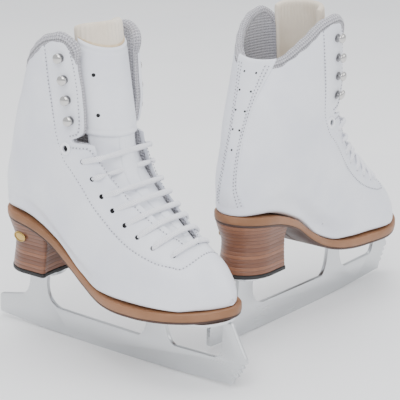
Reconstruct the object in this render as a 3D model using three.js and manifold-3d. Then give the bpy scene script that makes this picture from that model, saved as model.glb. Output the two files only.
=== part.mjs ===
// A pair of women's figure skates: laced leather boots with stacked heels on rockered steel blades.
// Each skate is drawn in its own frame: x forward from the back of the heel, y towards the inner
// side of the foot, z up from the ice. The left skate is the mirror image of the right one.
import * as THREE from 'three';
import { mergeVertices } from 'three/addons/utils/BufferGeometryUtils.js';
import Module from 'manifold-3d';

const wasm = await Module();
wasm.setup();

// ---- driving dimensions, millimetres and degrees ----
const gap = 0.3; // clearance between pieces that touch

// blade
const runnerThickness = 4.2;
const rockerRadius = 2300;
const rockerLow = 110; // where the runner touches flat ice
const tailBack = -32.5;
const tailHeight = 24;
const barHeight = 25; // top of the long bar under the windows
const pickReach = 269; // front of the highest tooth
const dragPickX = 254;
const toothCount = 4;
const heelStanchion = [11, 36]; // back and front faces below the heel plate
const midStanchion = [159, 178];
const toeStanchion = [243, 253];
const windowRound = 12;
const plateThickness = 3;
const heelPlateX = [2.5, 49];
const heelPlateHalf = 19;
const solePlateX = [150, 251];
const solePlateHalf = 24;
const screwRadius = 2;
const screwHeadRadius = 3.6;
const screwHeadHeight = 1.4;
const screwLength = 15;
const heelScrewX = [6.6, 42.5];
const soleScrews = [[168, 15], [168, -15], [222, 13], [222, -13]];

// sole and heel
const soleBack = -6;
const soleFront = 253;
const heelCurve = 31; // length over which the back of the sole rounds off
const toeCurve = 73; // length over which the toe rounds off
const outsoleThickness = 2.2;
const midsoleThickness = 7.2;
const liftThickness = 3.6;
const heelBottomZ = 63;
const heelBottomHalf = 26;
const heelWaistHalf = 25;
const heelTopHalf = 30.5;
const heelBreastX = 52;
const heelBreastLean = 7; // how far the front face leans forward towards the top
const heelBack = -1; // back of the heel at its lift

const badgePlace = { x: 23, y: -28, z: 98, turn: 0.15 };

// upper
const wall = 3;
const throatHalf = [13, 31]; // half width of the facing gap at its toe end and at the ankle
const cuffEdgeX = [116, 109]; // front edges of the cuff, at the notch and far above it
const cuffNotchZ = 207; // underside of the cuff where it steps back above the facings
const throatToe = 4.1; // sections of the last where the facing gap starts and where it meets the cuff
const throatAnkle = 8.2;
const lacePlaces = [[205.5, 117], [189, 122], [174, 129.5], [161, 138], [148, 149], [137, 160], [127, 174],
  [117, 188]]; // x and z of the lace holes, from the toe up
const hookPlaces = [[104.4, 223], [101.7, 241.1], [99.9, 258.9], [97, 277.6]];
const ringPlaceXZ = [99.7, 197.7];
const laceRadius = 1.9;
const laceOver = 3.9; // middle of the lace above the leather, beside its holes
const laceOverEdge = 7.5; // and above the edges of the facings
const laceUnder = 7.1; // middle of the lace below the face of the leather, inside the boot
const laceBow = 2; // how far each bar stands above the straight line between its holes
const eyeletRadius = 3.1;
const liningThickness = 3.2;
const collarRise = 5; // how far the padded collar stands above the leather
const backstayThickness = 1.5;
const hookRadius = 4.6;
const hookHeight = 6.5;
const hookStem = 1.4;
const ringRadius = 6;
const ringHole = 3;

// tongue: the upper flap wraps round the front of the ankle, its side edges inside the cuff
const tongueThickness = 6;
const tongueZ = [207, 300.3];
const tongueFront = [137, 120]; // x of its front line at its bottom and top
const tongueEdge = [103, 97]; // x of its side edges
const tongueHalf = 27;
const tongueSquare = 2; // 2 is an ellipse in plan, more is squarer
const throatTongueFrom = 4.6; // sections between which the lower tongue lies
const throatTongueTo = 7.9;
const tongueCrown = 8; // how far the middle of the lower tongue stands forward of its sides
const keeperAcross = [0.36, 0.64]; // sides of the keeper strip as shares of the gap between the facings
const keeperThickness = 0.8;

// inside
const boardThickness = 2.4;
const footbedThickness = 5;
const boardClear = 1.2; // from the leather to the board, all round and under it

// the pair on the floor: the left skate points along +X, the right one along -Y
const leftPlace = { x: 85, y: -184 };

// facets of the last
const stationStep = 0.9;
const bodySides = 22;
const liningBottom = 11 * stationStep; // section where the lining starts

// ---- one-dimensional curves ----
// smooth monotone curve through points [x, value]
function through(points) {
  const n = points.length;
  const slope = [];
  for (let i = 0; i < n - 1; i++) {
    slope.push((points[i + 1][1] - points[i][1]) / (points[i + 1][0] - points[i][0]));
  }
  const tangent = points.map((_, i) => {
    if (i === 0) return slope[0];
    if (i === n - 1) return slope[n - 2];
    const [a, b] = [slope[i - 1], slope[i]];
    return a * b <= 0 ? 0 : (2 * a * b) / (a + b);
  });
  return (x) => {
    if (x <= points[0][0]) return points[0][1];
    if (x >= points[n - 1][0]) return points[n - 1][1];
    let i = 0;
    while (x > points[i + 1][0]) i++;
    const h = points[i + 1][0] - points[i][0];
    const t = (x - points[i][0]) / h;
    const [p0, p1] = [points[i][1], points[i + 1][1]];
    const [m0, m1] = [tangent[i] * h, tangent[i + 1] * h];
    return p0 + m0 * t + (3 * (p1 - p0) - 2 * m0 - m1) * t * t + (2 * (p0 - p1) + m0 + m1) * t * t * t;
  };
}

// ---- the plan and profile of the sole ----
const bodyHalf = through([[25, 30], [65, 30], [90, 29.5], [110, 31.5], [135, 38], [155, 42], [180, 43.8]]);
const soleCentre = through([[60, 0], [138, -4], [175, -2.3], [212, 3], [250, 6]]);
const featherZ = through([[-6, 124], [15, 122.5], [38, 118.5], [65, 108.5], [90, 92], [110, 80], [125, 74],
  [142, 70.5], [165, 69], [200, 69], [235, 71], [253, 73.5]]);

// half width of the sole at x: the body's, rounded off by an ellipse at the heel and a fuller one at the toe
function soleHalf(x) {
  const heel = Math.max(0, (soleBack + heelCurve - x) / heelCurve);
  const toe = Math.max(0, (x - soleFront + toeCurve) / toeCurve);
  const heelFactor = Math.sqrt(Math.max(0, 1 - heel ** 2));
  const toeFactor = Math.max(0, 1 - toe ** 2.2) ** 0.6;
  return bodyHalf(x) * heelFactor * toeFactor;
}

// ---- the last: the closed surface that the upper is drawn over ----
// Each section is a closed curve from a point on the bottom or back line to one on the top or front
// line: [back x, back z, front x, front z, half width].
const lastSections = [
  [246.5, 74, 247, 80, 3],
  [243, 73, 243.5, 91, 11],
  [237, 72, 237, 102, 19],
  [227, 71, 227, 113, 28],
  [213, 69, 213, 124, 36],
  [193, 69, 194, 141, 40.5],
  [166, 69, 171, 165, 41.5],
  [136, 71, 155, 190, 42],
  [106, 82, 147, 210, 42],
  [70, 106, 142, 223, 42],
  [34, 119, 139, 235, 41.5],
  [0, 125, 137, 247, 41],
  [-6, 146, 135, 257, 41.5],
  [-1, 172, 133, 266, 42],
  [7, 197, 132, 275, 42.5],
  [16, 222, 130, 283, 43],
  [25, 243, 129, 291, 43],
  [34, 262, 128, 302, 43],
  [40, 278, 128, 314, 43],
];
const lastEnd = lastSections.length - 1;
const lastCurves = [0, 1, 2, 3, 4].map((k) => through(lastSections.map((row, i) => [i, row[k]])));
// where each section is widest, as a share of its length
const lastWaist = through([[0, 0.3], [3, 0.27], [5, 0.32], [8, 0.44], [11, 0.62], [14, 0.56], [18, 0.5]]);
// squareness of each section below and above its widest place
const lastLow = through([[0, 2.2], [3, 4.6], [7, 4.6], [10, 2.8], [13, 1.9], [18, 2.2]]);
const lastHigh = through([[0, 1.5], [4.5, 1.5], [7, 1.5], [9, 1.8], [11, 2.4], [18, 2.5]]);
const lastTopCentre = through([[0, 5], [2, 5], [5, 0.5], [18, 0]]); // sideways place of the ridge

// point of the last at section s (0 toe to lastEnd collar) and angle a (0 back, half a turn front),
// with every section drawn in by inset
function lastPoint(s, a, inset = 0) {
  const [bx, bz, fx, fz, half] = lastCurves.map((curve) => curve(s));
  const length = Math.hypot(fx - bx, fz - bz);
  const along = [(fx - bx) / length, (fz - bz) / length];
  const [c, d] = [Math.cos(a), Math.sin(a)];
  const square = 2 / (c > 0 ? lastLow(s) : lastHigh(s));
  const waist = lastWaist(s);
  const part = Math.abs(c) ** square;
  const t = c > 0 ? waist * (1 - part) : waist + (1 - waist) * part;
  const reach = inset + t * (length - 2 * inset);
  const side = Math.sign(d) * Math.abs(d) ** square * Math.max(0.2, half - inset);
  const x = bx + along[0] * reach;
  const centre = soleCentre(bx) * (1 - t) + lastTopCentre(s) * t;
  return new THREE.Vector3(x, centre + side, bz + along[1] * reach);
}

// angle, measured back from the front line, at which the last is half wide
function frontAngle(s, half, inset = 0) {
  const ratio = Math.min(0.98, half / (lastCurves[4](s) - inset));
  return Math.asin(ratio ** (lastHigh(s) / 2));
}

// outward unit normal of the last
function lastNormal(s, a) {
  const step = 0.02;
  const along = lastPoint(s + step, a).sub(lastPoint(s - step, a));
  const round = lastPoint(s, a + step).sub(lastPoint(s, a - step));
  return along.cross(round).normalize();
}

function lastOffset(s, a, out) {
  return lastPoint(s, a).addScaledVector(lastNormal(s, a), out);
}

// ---- solids ----
const v3 = (x, y, z) => new THREE.Vector3(x, y, z);

// closed body through rings of equally many points, with flat ends
function loft(rings) {
  const n = rings[0].length;
  const points = rings.flat();
  const faces = [];
  for (let i = 0; i < rings.length - 1; i++) {
    for (let j = 0; j < n; j++) {
      const [a, b] = [i * n + j, i * n + ((j + 1) % n)];
      faces.push(a, b, b + n, a, b + n, a + n);
    }
  }
  const last = (rings.length - 1) * n;
  for (let j = 1; j < n - 1; j++) {
    faces.push(0, j + 1, j);
    faces.push(last, last + j, last + j + 1);
  }
  return indexed(points, faces);
}

function indexed(points, faces) {
  const geometry = new THREE.BufferGeometry();
  const values = points.flatMap((p) => [p.x, p.y, p.z]);
  geometry.setAttribute('position', new THREE.Float32BufferAttribute(values, 3));
  geometry.setIndex(faces);
  return outward(geometry);
}

// signed volume, used to turn a body right side out
function volume(geometry) {
  const p = geometry.attributes.position;
  const index = geometry.index.array;
  const [a, b, c] = [v3(), v3(), v3()];
  let sum = 0;
  for (let i = 0; i < index.length; i += 3) {
    a.fromBufferAttribute(p, index[i]);
    b.fromBufferAttribute(p, index[i + 1]);
    c.fromBufferAttribute(p, index[i + 2]);
    sum += a.dot(b.cross(c)) / 6;
  }
  return sum;
}

function outward(geometry) {
  if (volume(geometry) < 0) {
    const index = geometry.index.array;
    for (let i = 0; i < index.length; i += 3) [index[i], index[i + 1]] = [index[i + 1], index[i]];
  }
  return geometry;
}

// thin closed shell between two grids of points of the same size
function shell(outer, inner) {
  const [rows, columns] = [outer.length, outer[0].length];
  const points = [...outer.flat(), ...inner.flat()];
  const at = (i, j, under = 0) => (under * rows + i) * columns + j;
  const faces = [];
  const quad = (a, b, c, d) => faces.push(a, b, c, a, c, d);
  for (let i = 0; i < rows - 1; i++) {
    for (let j = 0; j < columns - 1; j++) {
      quad(at(i, j), at(i, j + 1), at(i + 1, j + 1), at(i + 1, j));
      quad(at(i, j, 1), at(i + 1, j, 1), at(i + 1, j + 1, 1), at(i, j + 1, 1));
    }
    quad(at(i, 0), at(i + 1, 0), at(i + 1, 0, 1), at(i, 0, 1));
    quad(at(i, columns - 1), at(i, columns - 1, 1), at(i + 1, columns - 1, 1), at(i + 1, columns - 1));
  }
  for (let j = 0; j < columns - 1; j++) {
    quad(at(0, j), at(0, j, 1), at(0, j + 1, 1), at(0, j + 1));
    quad(at(rows - 1, j), at(rows - 1, j + 1), at(rows - 1, j + 1, 1), at(rows - 1, j, 1));
  }
  return indexed(points, faces);
}

// slab between two surfaces over a plan: half(x) wide each side of centre(x). Its stations crowd
// together towards the ends, where the plan rounds off, and stop just short of them.
function slab(x0, x1, half, centre, bottom, top, count = 22) {
  const rings = [];
  const [endShare, leastHalf] = [0.02, 0.4];
  for (let i = 0; i <= count; i++) {
    const turn = Math.PI * (endShare + (1 - 2 * endShare) * (i / count));
    const x = (x0 + x1) / 2 - ((x1 - x0) / 2) * Math.cos(turn);
    const [w, c] = [Math.max(leastHalf, half(x)), centre(x)];
    const [low, high] = [bottom(x), top(x)];
    rings.push([v3(x, c - w, low), v3(x, c + w, low), v3(x, c + w, high), v3(x, c - w, high)]);
  }
  return loft(rings);
}

function toManifold(geometry) {
  const bare = new THREE.BufferGeometry();
  bare.setAttribute('position', geometry.attributes.position.clone());
  if (geometry.index) bare.setIndex(geometry.index.clone());
  const merged = mergeVertices(bare, 1e-4);
  return new wasm.Manifold(new wasm.Mesh({
    numProp: 3,
    vertProperties: new Float32Array(merged.attributes.position.array),
    triVerts: new Uint32Array(merged.index.array),
  }));
}

function fromManifold(solid) {
  const mesh = solid.getMesh();
  const geometry = new THREE.BufferGeometry();
  geometry.setAttribute('position', new THREE.Float32BufferAttribute(mesh.vertProperties, 3));
  geometry.setIndex([...mesh.triVerts]);
  return geometry;
}

function cut(geometry, ...tools) {
  let solid = toManifold(geometry);
  for (const tool of tools) solid = solid.subtract(toManifold(tool));
  return fromManifold(solid);
}

function keep(geometry, tool) {
  return fromManifold(toManifold(geometry).intersect(toManifold(tool)));
}

// round body about the z axis from a closed profile of [radius, z], then turned to axis and moved
function turned(profile, at, axis, sides = 10) {
  const geometry = new THREE.LatheGeometry(profile.map(([r, z]) => new THREE.Vector2(r, z)), sides);
  geometry.rotateX(Math.PI / 2);
  geometry.deleteAttribute('uv');
  geometry.deleteAttribute('normal');
  const merged = mergeVertices(geometry, 1e-4);
  const turn = new THREE.Quaternion().setFromUnitVectors(v3(0, 0, 1), axis.clone().normalize());
  merged.applyQuaternion(turn);
  merged.translate(at.x, at.y, at.z);
  return outward(dropSlivers(merged));
}

// leaves out triangles whose corners have merged
function dropSlivers(geometry) {
  const index = geometry.index.array;
  const kept = [];
  for (let i = 0; i < index.length; i += 3) {
    const [a, b, c] = [index[i], index[i + 1], index[i + 2]];
    if (a !== b && b !== c && c !== a) kept.push(a, b, c);
  }
  geometry.setIndex(kept);
  return geometry;
}

const pin = (at, axis, radius, from, to, sides = 10) =>
  turned([[0, from], [radius, from], [radius, to], [0, to]], at, axis, sides);

const up = v3(0, 0, 1);

// ---- sole, heel and inside pieces ----
const soleTop = (x) => featherZ(x) - gap;
const outsoleTop = (x) => soleTop(x) - midsoleThickness;
const outsoleBottom = (x) => outsoleTop(x) - gap - outsoleThickness;
const heelPlateTop = heelBottomZ - gap;
const heelScrewPlaces = heelScrewX.map((x) => v3(x, 0, heelPlateTop - plateThickness));
const plateTop = (x) => outsoleBottom(x) - gap;
const soleScrewPlaces = soleScrews.map(([x, y]) => v3(x, y, plateTop(x) - plateThickness));

function midsole() {
  return slab(soleBack, soleFront, soleHalf, soleCentre, outsoleTop, soleTop);
}

function outsole() {
  const [endInset, sideInset] = [0.8, 0.6];
  const half = (x) => soleHalf(x) - sideInset;
  const top = (x) => outsoleTop(x) - gap;
  return slab(soleBack + endInset, soleFront - endInset, half, soleCentre, outsoleBottom, top);
}

// D-shaped outline of the heel, counter-clockwise: a round back and a nearly flat front face
function heelOutline(z, half, back, front) {
  const points = [];
  const steps = 12;
  for (let i = 0; i <= steps; i++) {
    const a = Math.PI / 2 + (Math.PI * i) / steps;
    points.push(v3(back + (half + 3) + (half + 3) * Math.cos(a), half * Math.sin(a), z));
  }
  points.push(v3(front, -half * 0.93, z));
  points.push(v3(front - 3, 0, z));
  points.push(v3(front, half * 0.93, z));
  return points;
}

function heelStack() {
  const top = 130;
  const base = heelBottomZ + liftThickness + gap;
  const levels = [0, 0.12, 0.35, 0.65, 1];
  const flare = through([[0, heelBottomHalf - 0.6], [0.35, heelWaistHalf], [1, heelTopHalf + 2]]);
  const backLine = through([[0, heelBack + 0.3], [0.35, heelBack + 2.2], [0.8, soleBack + 2.4],
    [1, soleBack + 1.5]]);
  const rings = levels.map((t) => {
    const z = base + t * (top - base);
    return heelOutline(z, flare(t), backLine(t), heelBreastX + heelBreastLean * t ** 1.5);
  });
  const seat = (x) => outsoleBottom(x) - gap;
  const aboveSeat = slab(soleBack - 20, soleFront, () => 60, () => 0, seat, () => 200, 16);
  return cut(loft(rings), aboveSeat);
}

function heelLift() {
  const rings = [heelBottomZ, heelBottomZ + liftThickness].map((z) =>
    heelOutline(z, heelBottomHalf, heelBack, heelBreastX));
  return loft(rings);
}

// ---- blade ----
const rockerZ = (x) => (x - rockerLow) ** 2 / (2 * rockerRadius);

function runner() {
  const shape = new THREE.Shape();
  const solePlateUnder = (x) => plateTop(x) - plateThickness - gap;
  const heelTop = heelPlateTop - plateThickness - gap;
  const steps = 14;
  shape.moveTo(tailBack, rockerZ(tailBack) + 1);
  for (let i = 0; i <= steps; i++) {
    const x = tailBack + 2 + ((dragPickX - 9 - tailBack - 2) * i) / steps;
    shape.lineTo(x, rockerZ(x));
  }
  shape.lineTo(dragPickX, rockerZ(dragPickX) - 0.6);
  shape.lineTo(dragPickX + 2.6, rockerZ(dragPickX) + 6.5);
  // teeth: steps up a line from the drag pick to the highest tooth
  const toothTop = 30;
  const toothBottom = rockerZ(dragPickX) + 6.5;
  for (let i = 0; i < toothCount; i++) {
    const t = (i + 1) / toothCount;
    const z = toothBottom + (toothTop - toothBottom) * t;
    const reach = dragPickX + 2.6 + (pickReach - dragPickX - 2.6) * t ** 0.8;
    shape.lineTo(reach, z - (toothTop - toothBottom) / toothCount + 1.2);
    shape.lineTo(reach - (i === toothCount - 1 ? 0 : 2.4), z);
  }
  shape.lineTo(toeStanchion[1], solePlateUnder(toeStanchion[1]));
  shape.lineTo(toeStanchion[0], solePlateUnder(toeStanchion[0]));
  const bar = barHeight;
  shape.quadraticCurveTo(toeStanchion[0] + 3.5, bar, toeStanchion[0] - windowRound + 3, bar);
  shape.lineTo(midStanchion[1] + windowRound, bar - 1);
  shape.quadraticCurveTo(midStanchion[1] + 1, bar + 3, midStanchion[1], solePlateUnder(midStanchion[1]));
  shape.lineTo(midStanchion[0], solePlateUnder(midStanchion[0]));
  shape.quadraticCurveTo(midStanchion[0] - 1, bar + 4, midStanchion[0] - windowRound, bar - 1);
  shape.lineTo(heelStanchion[1] + windowRound, bar + 0.5);
  shape.quadraticCurveTo(heelStanchion[1] - 10, bar + 6, heelStanchion[1] - 1, heelTop);
  shape.lineTo(heelStanchion[0], heelTop);
  const tailStart = heelStanchion[0] - 13;
  shape.quadraticCurveTo(heelStanchion[0] - 1, tailHeight + 9, tailStart, tailHeight + 5.5);
  shape.lineTo(tailBack + 5, tailHeight);
  shape.quadraticCurveTo(tailBack + 1, tailHeight, tailBack + 0.6, tailHeight - 4);
  const geometry = new THREE.ExtrudeGeometry(shape, {
    depth: runnerThickness,
    bevelEnabled: false,
    curveSegments: 6,
  });
  geometry.rotateX(Math.PI / 2);
  geometry.translate(0, runnerThickness / 2, 0);
  geometry.deleteAttribute('uv');
  geometry.deleteAttribute('normal');
  return outward(mergeVertices(geometry, 1e-4));
}

// half width of a plate with rounded ends
const plateHalf = ([x0, x1], half, round) => (x) => {
  const end = Math.max(0, (x0 + round - x) / round, (x - x1 + round) / round);
  return half * Math.sqrt(Math.max(0, 1 - end ** 2));
};

function solePlate() {
  const half = plateHalf(solePlateX, solePlateHalf, 26);
  const body = slab(...solePlateX, half, () => 0, (x) => plateTop(x) - plateThickness, plateTop, 14);
  const holes = soleScrewPlaces.map((at) => pin(at, up, screwRadius + gap, -5, plateThickness + 5, 8));
  return cut(body, ...holes);
}

function heelPlate() {
  const half = plateHalf(heelPlateX, heelPlateHalf, 15);
  const level = (z) => () => z;
  const low = heelPlateTop - plateThickness;
  const body = slab(...heelPlateX, half, () => 0, level(low), level(heelPlateTop), 12);
  const holes = heelScrewPlaces.map((at) => pin(at, up, screwRadius + gap, -5, plateThickness + 5, 8));
  return cut(body, ...holes);
}

// pan-headed screw, its head under the plate
function screw(at) {
  const under = -gap;
  return turned([[0, under - screwHeadHeight], [screwHeadRadius * 0.7, under - screwHeadHeight],
    [screwHeadRadius, under - screwHeadHeight * 0.4], [screwHeadRadius, under], [screwRadius, under],
    [screwRadius, screwLength - 2], [0, screwLength]], at, up, 8);
}

const screwHole = (at) => pin(at, up, screwRadius + gap, -6, screwLength + 1, 8);

// ---- upper ----
const collarTop = through([[20, 253], [36, 257.5], [60, 275.5], [84, 290.5], [98, 293], [112, 286],
  [130, 270]]);

// closed body of the last between two sections, drawn in by inset; every body shares the same
// stations and angles, so bodies with different insets nest without touching
function lastBody(from, to, inset) {
  const stations = [from];
  for (let s = stationStep; s < to - 0.01; s += stationStep) if (s > from + 0.01) stations.push(s);
  stations.push(to);
  return loft(stations.map((s) =>
    Array.from({ length: bodySides }, (_, j) => lastPoint(s, (2 * Math.PI * j) / bodySides, inset))));
}

// body above the collar line, raised by rise
function aboveCollar(rise) {
  return slab(-40, 200, () => 80, () => 0, (x) => collarTop(x) + rise, () => 400, 20);
}

function belowFeather(rise) {
  return slab(-40, 290, () => 80, () => 0, () => 20, (x) => featherZ(x) + rise, 26);
}

// half width of the facing gap at each section
const throatHalfAt = through([[throatToe, 1], [throatToe + 0.08, 5], [throatToe + 0.3, 9.5],
  [throatToe + 0.8, throatHalf[0]], [throatAnkle, throatHalf[1]]]);

// body that clears the facing gap and the cuff opening
function throatCutter() {
  const rings = [];
  const stations = [throatToe, throatToe + 0.08, throatToe + 0.3, throatToe + 0.8, 6, 7, 8, throatAnkle, 10];
  const depth = through([[throatToe, 14], [5, 30], [7, 50], [throatAnkle, 60]]);
  for (const s of stations) {
    const [bx, bz, fx, fz] = lastCurves.map((curve) => curve(s));
    const length = Math.hypot(fx - bx, fz - bz);
    const along = v3((fx - bx) / length, 0, (fz - bz) / length);
    const front = v3(fx, lastTopCentre(s), fz);
    const low = front.clone().addScaledVector(along, -depth(s));
    const high = front.clone().addScaledVector(along, 40);
    const w = throatHalfAt(s);
    rings.push([v3(low.x, low.y - w, low.z), v3(low.x, low.y + w, low.z),
      v3(high.x, high.y + w, high.z), v3(high.x, high.y - w, high.z)]);
  }
  return loft(rings);
}

// body in front of the cuff's front edges, above the notch at the ankle
function cuffCutter() {
  const rings = [[cuffNotchZ, cuffEdgeX[0]], [330, cuffEdgeX[1]]].map(([z, x]) =>
    [v3(x, -90, z), v3(x + 90, -90, z), v3(x + 90, 90, z), v3(x, 90, z)]);
  return loft(rings);
}

// the half space on one side of the centre seam
function sideBlock(sign) {
  const far = 90;
  const rings = [];
  for (let i = 0; i <= 12; i++) {
    const x = -40 + (330 * i) / 12;
    const near = soleCentre(x) + (sign * gap) / 2;
    const ys = sign > 0 ? [near, far] : [-far, near];
    rings.push([v3(x, ys[0], 20), v3(x, ys[1], 20), v3(x, ys[1], 420), v3(x, ys[0], 420)]);
  }
  return loft(rings);
}

// section and angle of the last at x and z on one side, by Newton's method
function onSide([x, z], side) {
  const step = 0.01;
  let [s, a] = [7, 2.1];
  for (let i = 0; i < 30; i++) {
    const p = lastPoint(s, a);
    const ds = lastPoint(s + step, a).sub(p).divideScalar(step);
    const da = lastPoint(s, a + step).sub(p).divideScalar(step);
    const det = ds.x * da.z - da.x * ds.z;
    const [dx, dz] = [x - p.x, z - p.z];
    s = Math.min(lastEnd, Math.max(3, s + 0.6 * (dx * da.z - dz * da.x) / det));
    a = Math.min(3, Math.max(1.4, a + 0.6 * (dz * ds.x - dx * ds.z) / det));
  }
  return { s, a: side * a };
}

const laceHole = (row, side) => onSide(lacePlaces[row], side);
const hookPlace = (i, side) => onSide(hookPlaces[i], side);
const ringPlace = (side) => onSide(ringPlaceXZ, side);

// leather quarter on one side: wall, sole line, collar line, throat and holes
function quarter(side) {
  const outer = lastBody(0, lastEnd, 0);
  const inner = lastBody(0.35, lastEnd, wall);
  const holes = [];
  for (let row = 0; row < lacePlaces.length; row++) {
    const { s, a } = laceHole(row, side);
    holes.push(pin(lastPoint(s, a), lastNormal(s, a), eyeletRadius, -12, 8, 8));
  }
  for (let i = 0; i < 4; i++) {
    const { s, a } = hookPlace(i, side);
    holes.push(pin(lastPoint(s, a), lastNormal(s, a), hookStem + gap, -8, 6, 6));
  }
  const ring = ringPlace(side);
  holes.push(pin(lastPoint(ring.s, ring.a), lastNormal(ring.s, ring.a), ringHole + gap, -8, 6, 6));
  const openings = [belowFeather(2 * gap), aboveCollar(0), throatCutter(), cuffCutter()];
  return keep(cut(outer, inner, ...openings, ...holes), sideBlock(side));
}

// grid of points: place takes the share of the way along its rows and along its columns
function grid(rows, columns, place) {
  return Array.from({ length: rows + 1 }, (_, i) =>
    Array.from({ length: columns + 1 }, (_, j) => place(i / rows, j / columns)));
}

// padded knit lining of the shaft with its collar, from under the ankle to above the leather
function lining() {
  const clear = wall + gap;
  const outer = lastBody(liningBottom, lastEnd, clear);
  const inner = lastBody(liningBottom - 0.3, lastEnd, clear + liningThickness);
  const overFootbed = wall + boardClear + boardThickness + footbedThickness + 3 * gap;
  const openings = [aboveCollar(collarRise), belowFeather(overFootbed), throatCutter(), cuffCutter()];
  return cut(outer, inner, ...openings);
}

// backstay: a strip up the back seam, wide at the top, narrow at the ankle, wider again at the heel
function backstay() {
  const half = through([[11.5, 10], [13, 7.5], [14.2, 8], [15.6, 14.5], [16.6, 15.5], [17.2, 17]]);
  const place = (out) => (u, v) => {
    const s = 11.55 + u * 5.6;
    const ratio = Math.min(0.9, half(s) / lastCurves[4](s));
    const a = (2 * v - 1) * Math.asin(ratio ** (lastLow(s) / 2));
    return lastOffset(s, a, out);
  };
  const body = shell(grid(14, 6, place(gap + backstayThickness)), grid(14, 6, place(gap)));
  return cut(body, aboveCollar(-1), belowFeather(1));
}

// ---- tongue ----
const tongueInset = wall + 2 * laceRadius + 2.4; // leaves room for the lace behind the facings

// edge of the facing at section s on one side, raised by out along the leather's normal
function facingEdge(s, side, out = 0) {
  return lastOffset(s, side * (Math.PI - frontAngle(s, throatHalfAt(s) + 1)), out);
}

// point across the throat at section s: v runs from the outer to the inner facing edge; the surface
// lies inset behind the straight line between them and its middle stands forward by the crown
function acrossThroat(s, v, inset) {
  const lift = tongueCrown * (1 - (2 * v - 1) ** 2) - inset;
  return facingEdge(s, -1).lerp(facingEdge(s, 1), v).addScaledVector(lastNormal(s, Math.PI), lift);
}

const throatSection = (u) => throatTongueFrom + u * (throatTongueTo - throatTongueFrom);

function tongueLower() {
  const place = (inset) => (u, v) => acrossThroat(throatSection(u), 0.1 + 0.8 * v, inset);
  return shell(grid(8, 8, place(tongueInset)), grid(8, 8, place(tongueInset + tongueThickness)));
}

// padded upper flap, from just above the notch to above the collar: half a squared ellipse in plan
function tongueUpper() {
  const mix = ([low, high], u) => low + (high - low) * u;
  const place = (inset) => (u, v) => {
    const turn = (v - 0.5) * Math.PI;
    const [c, d] = [Math.cos(turn) ** (2 / tongueSquare), Math.abs(Math.sin(turn)) ** (2 / tongueSquare)];
    const edge = mix(tongueEdge, u);
    const depth = mix(tongueFront, u) - edge - inset;
    return v3(edge + depth * c, Math.sign(turn) * (tongueHalf - inset) * d, mix(tongueZ, u));
  };
  return shell(grid(5, 14, place(0)), grid(5, 14, place(tongueThickness)));
}

// strip sewn up the middle of the lower tongue that keeps the lace in line
function laceKeeper() {
  const place = (inset) => (u, v) => {
    const across = keeperAcross[0] + (keeperAcross[1] - keeperAcross[0]) * v;
    return acrossThroat(throatSection(0.25 + u * 0.7), across, inset);
  };
  const clear = tongueInset - 2 * gap;
  return shell(grid(8, 2, place(clear - keeperThickness)), grid(8, 2, place(clear)));
}

// ---- inside ----
const boardLow = (x) => featherZ(x) + wall + boardClear;

function insoleBoard() {
  const room = lastBody(0.35, lastEnd, wall + boardClear);
  const high = (x) => boardLow(x) + boardThickness;
  return keep(slab(soleBack + 4, soleFront - 4, () => 60, () => 0, boardLow, high, 18), room);
}

function footbed() {
  const room = lastBody(0.6, lastEnd, wall + 2);
  const low = (x) => boardLow(x) + boardThickness + gap;
  const high = (x) => low(x) + footbedThickness;
  return keep(slab(soleBack + 8, soleFront - 8, () => 60, () => 0, low, high, 18), room);
}

// ---- lace and fittings ----
// route of the lace: straight bars across the throat, joined up the inside of the facings
function lacePath() {
  const points = [];
  const at = (hole, out, shift = 0) => lastOffset(hole.s + shift, hole.a, out);
  points.push(at(laceHole(0, -1), -laceUnder, -0.2));
  let side = -1;
  for (let row = 0; row < lacePlaces.length; row++) {
    const near = laceHole(row, side);
    const far = laceHole(row, -side);
    const nearEdge = facingEdge(near.s, side, laceOverEdge);
    const farEdge = facingEdge(far.s, -side, laceOverEdge);
    const out = lastNormal(near.s, Math.PI);
    points.push(at(near, -laceUnder), at(near, laceOver), nearEdge);
    points.push(nearEdge.clone().lerp(farEdge, 0.5).addScaledVector(out, laceBow));
    points.push(farEdge, at(far, laceOver), at(far, -laceUnder));
    side = -side;
  }
  points.push(at(laceHole(lacePlaces.length - 1, side), -laceUnder, 0.3));
  return points;
}

// tube along a path, with round section turned as little as possible
function tube(points, radius, sides) {
  const rings = [];
  let normal = null;
  points.forEach((p, i) => {
    const before = points[Math.max(0, i - 1)];
    const after = points[Math.min(points.length - 1, i + 1)];
    const tangent = after.clone().sub(before).normalize();
    if (!normal) normal = v3(0, 0, 1).cross(tangent).normalize();
    normal.addScaledVector(tangent, -normal.dot(tangent)).normalize();
    const other = tangent.clone().cross(normal);
    rings.push(Array.from({ length: sides }, (_, j) => {
      const a = (2 * Math.PI * j) / sides;
      const [c, d] = [radius * Math.cos(a), radius * Math.sin(a)];
      return p.clone().addScaledVector(normal, c).addScaledVector(other, d);
    }));
  });
  return loft(rings);
}

function lace() {
  return tube(lacePath(), laceRadius, 6);
}

// boot hook: a domed button on a stem through the leather
function hook(i, side) {
  const { s, a } = hookPlace(i, side);
  return turned([[0, -wall], [hookStem, -wall], [hookStem, hookHeight - 4.5],
    [hookRadius * 0.8, hookHeight - 4], [hookRadius, hookHeight - 2.5],
    [hookRadius * 0.75, hookHeight - 0.7], [0, hookHeight]],
  lastPoint(s, a), lastNormal(s, a), 8);
}

function ringEyelet(side) {
  const { s, a } = ringPlace(side);
  const low = gap + 0.2;
  const profile = [[ringHole, low], [ringRadius, low], [ringRadius, 1.2], [ringHole + 1, 2],
    [ringHole, 1.4], [ringHole, low]];
  return turned(profile, lastPoint(s, a), lastNormal(s, a), 12);
}

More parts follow.
